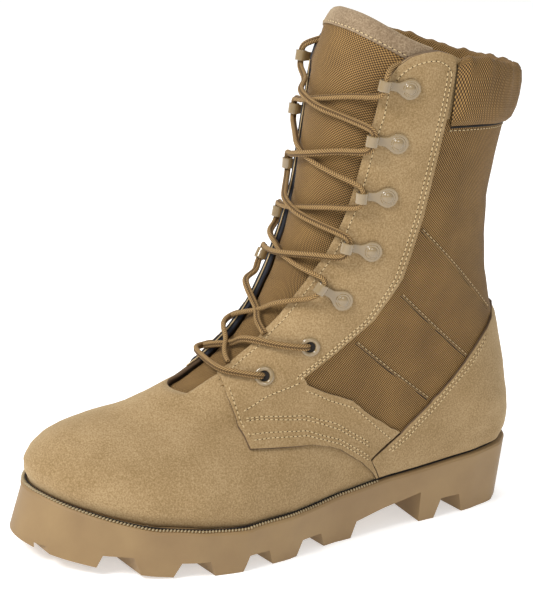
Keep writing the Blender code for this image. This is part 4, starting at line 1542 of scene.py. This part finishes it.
def make_hook(index, side, word):
    """Plate that narrows from its rivet to a neck and rolls up at the tip."""
    seat, forward, upward, normal, middle = hook_frame(index, side)
    first = HOOK_PLATE[0][0]
    length = HOOK_REACH - first + HOOK_CURL * HOOK_TUBE

    def place(a, b):
        run = first + length * b
        if run < HOOK_REACH:
            p = seat + forward * run + normal * 0.1
        else:
            turn = (run - HOOK_REACH) / HOOK_TUBE
            p = middle + (forward * math.sin(turn) - normal * math.cos(turn)) * HOOK_TUBE
        return p + upward * between(HOOK_PLATE, run) * (2 * a - 1)

    bm = grid_bmesh(8, 48, place)
    centre = place_point(middle)
    face_out(bm, lambda c: c - centre)
    obj = finish_piece(bm, f"hook_plate_{word}_{index + 1}", [PAINT], 50)
    wall(obj, HOOK_WALL)
    soft_edge(obj, 0.3)
    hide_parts(f"hook_{word}_{index + 1}")
    bm = bmesh.new()
    turn = normal.to_track_quat("Z", "Y").to_matrix().to_4x4()
    where = Matrix.Translation(place_point(seat + normal * 1.15)) @ turn
    base, top, thick = (v * MM for v in (RIVET_RADIUS, RIVET_RADIUS - 0.4, 0.5))
    bmesh.ops.create_cone(
        bm, cap_ends=True, segments=28, radius1=base, radius2=top, depth=thick, matrix=where
    )
    dome = where @ Matrix.Diagonal((1.0, 1.0, 0.4, 1.0))
    bmesh.ops.create_uvsphere(bm, u_segments=24, v_segments=12, radius=3.0 * MM, matrix=dome)
    finish_piece(bm, f"hook_rivet_{word}_{index + 1}", [PAINT], 50)


def dress_insole():
    """The footbed keeps its solid, with the lining's finish."""
    for material_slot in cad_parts["insole"].material_slots:
        material_slot.material = LINING


# Camera, floor and light

# Fitted to the photo: place in mm, angles in degrees
CAMERA_PLACE = (778.46, -464.42, 422.96)
CAMERA_AZIMUTH = 59.98
CAMERA_ELEVATION = 17.72
CAMERA_ROLL = 4.14
CAMERA_FOCUS = 1712.1  # focal length in pixels of the 533 by 591 frame
FRAME_HEIGHT = 591
SENSOR = 36.0  # height of the camera's sensor, in mm


def make_camera():
    """Camera at the photo's place and angle, rolled as the photo is."""
    az, el, roll = (math.radians(v) for v in (CAMERA_AZIMUTH, CAMERA_ELEVATION, CAMERA_ROLL))
    back = Vector((math.sin(az) * math.cos(el), -math.cos(az) * math.cos(el), math.sin(el)))
    right = Vector((0, 0, 1)).cross(back).normalized()
    up = back.cross(right)
    turned = right * math.cos(roll) + up * math.sin(roll)
    above = up * math.cos(roll) - right * math.sin(roll)
    data = bpy.data.cameras.new("camera")
    data.sensor_fit = "VERTICAL"
    data.sensor_height = SENSOR
    data.lens = CAMERA_FOCUS * SENSOR / FRAME_HEIGHT
    data.clip_end = 50.0
    obj = bpy.data.objects.new("camera", data)
    bpy.context.collection.objects.link(obj)
    matrix = Matrix((turned, above, back)).transposed().to_4x4()
    matrix.translation = place_point(CAMERA_PLACE)
    obj.matrix_world = matrix
    bpy.context.scene.camera = obj


def area_light(name, place, target, size, power):
    """Softbox aimed at a target. Places and size are in metres."""
    data = bpy.data.lights.new(name, "AREA")
    data.size = size
    data.energy = power
    obj = bpy.data.objects.new(name, data)
    bpy.context.collection.objects.link(obj)
    obj.location = place
    obj.rotation_euler = (Vector(target) - Vector(place)).to_track_quat("-Z", "Y").to_euler()


def make_stage():
    """Pale floor, even studio light, and colours as the shader gives them."""
    # Matt paper sweep. It glows a little, so that it shows as white as the photo's ground.
    sockets = {"Base Color": linear("F3F3F3"), "Roughness": 0.9}
    sockets |= {"Emission Color": linear("FFFFFF"), "Emission Strength": 0.45}
    mat, _, _ = start_material("studio_floor", sockets)
    bm = bmesh.new()
    bmesh.ops.create_grid(bm, x_segments=1, y_segments=1, size=6.0)
    mesh = bpy.data.meshes.new("floor")
    bm.to_mesh(mesh)
    bm.free()
    mesh.materials.append(mat)
    floor = bpy.data.objects.new("floor", mesh)
    bpy.context.collection.objects.link(floor)
    world = bpy.data.worlds.new("studio")
    world.use_nodes = True
    world.node_tree.nodes["Background"].inputs["Color"].default_value = (1.0, 1.0, 1.0, 1.0)
    world.node_tree.nodes["Background"].inputs["Strength"].default_value = 0.55
    bpy.context.scene.world = world
    area_light("key", (0.2, -1.4, 1.5), (0.0, -0.05, 0.08), 0.7, 33.0)
    area_light("side", (1.5, -0.4, 0.9), (0.0, 0.0, 0.12), 0.35, 3.5)
    area_light("rim", (-1.0, 0.4, 1.2), (0.0, 0.0, 0.15), 0.8, 6.0)
    bpy.context.scene.view_settings.view_transform = "Standard"


make_camera()
make_stage()
dress_insole()
make_upper()
for boot_side, side_word in SIDES:
    make_quarter(boot_side, side_word)
make_counter()
make_cuff()
make_tongue()
make_binding()
make_sole()
make_seam_cords()
make_welt()
make_laces()
make_eyelets()
for hook_index in range(len(HOOK_ROWS)):
    for boot_side, side_word in SIDES:
        make_hook(hook_index, boot_side, side_word)
make_edge_line()
make_stitches()
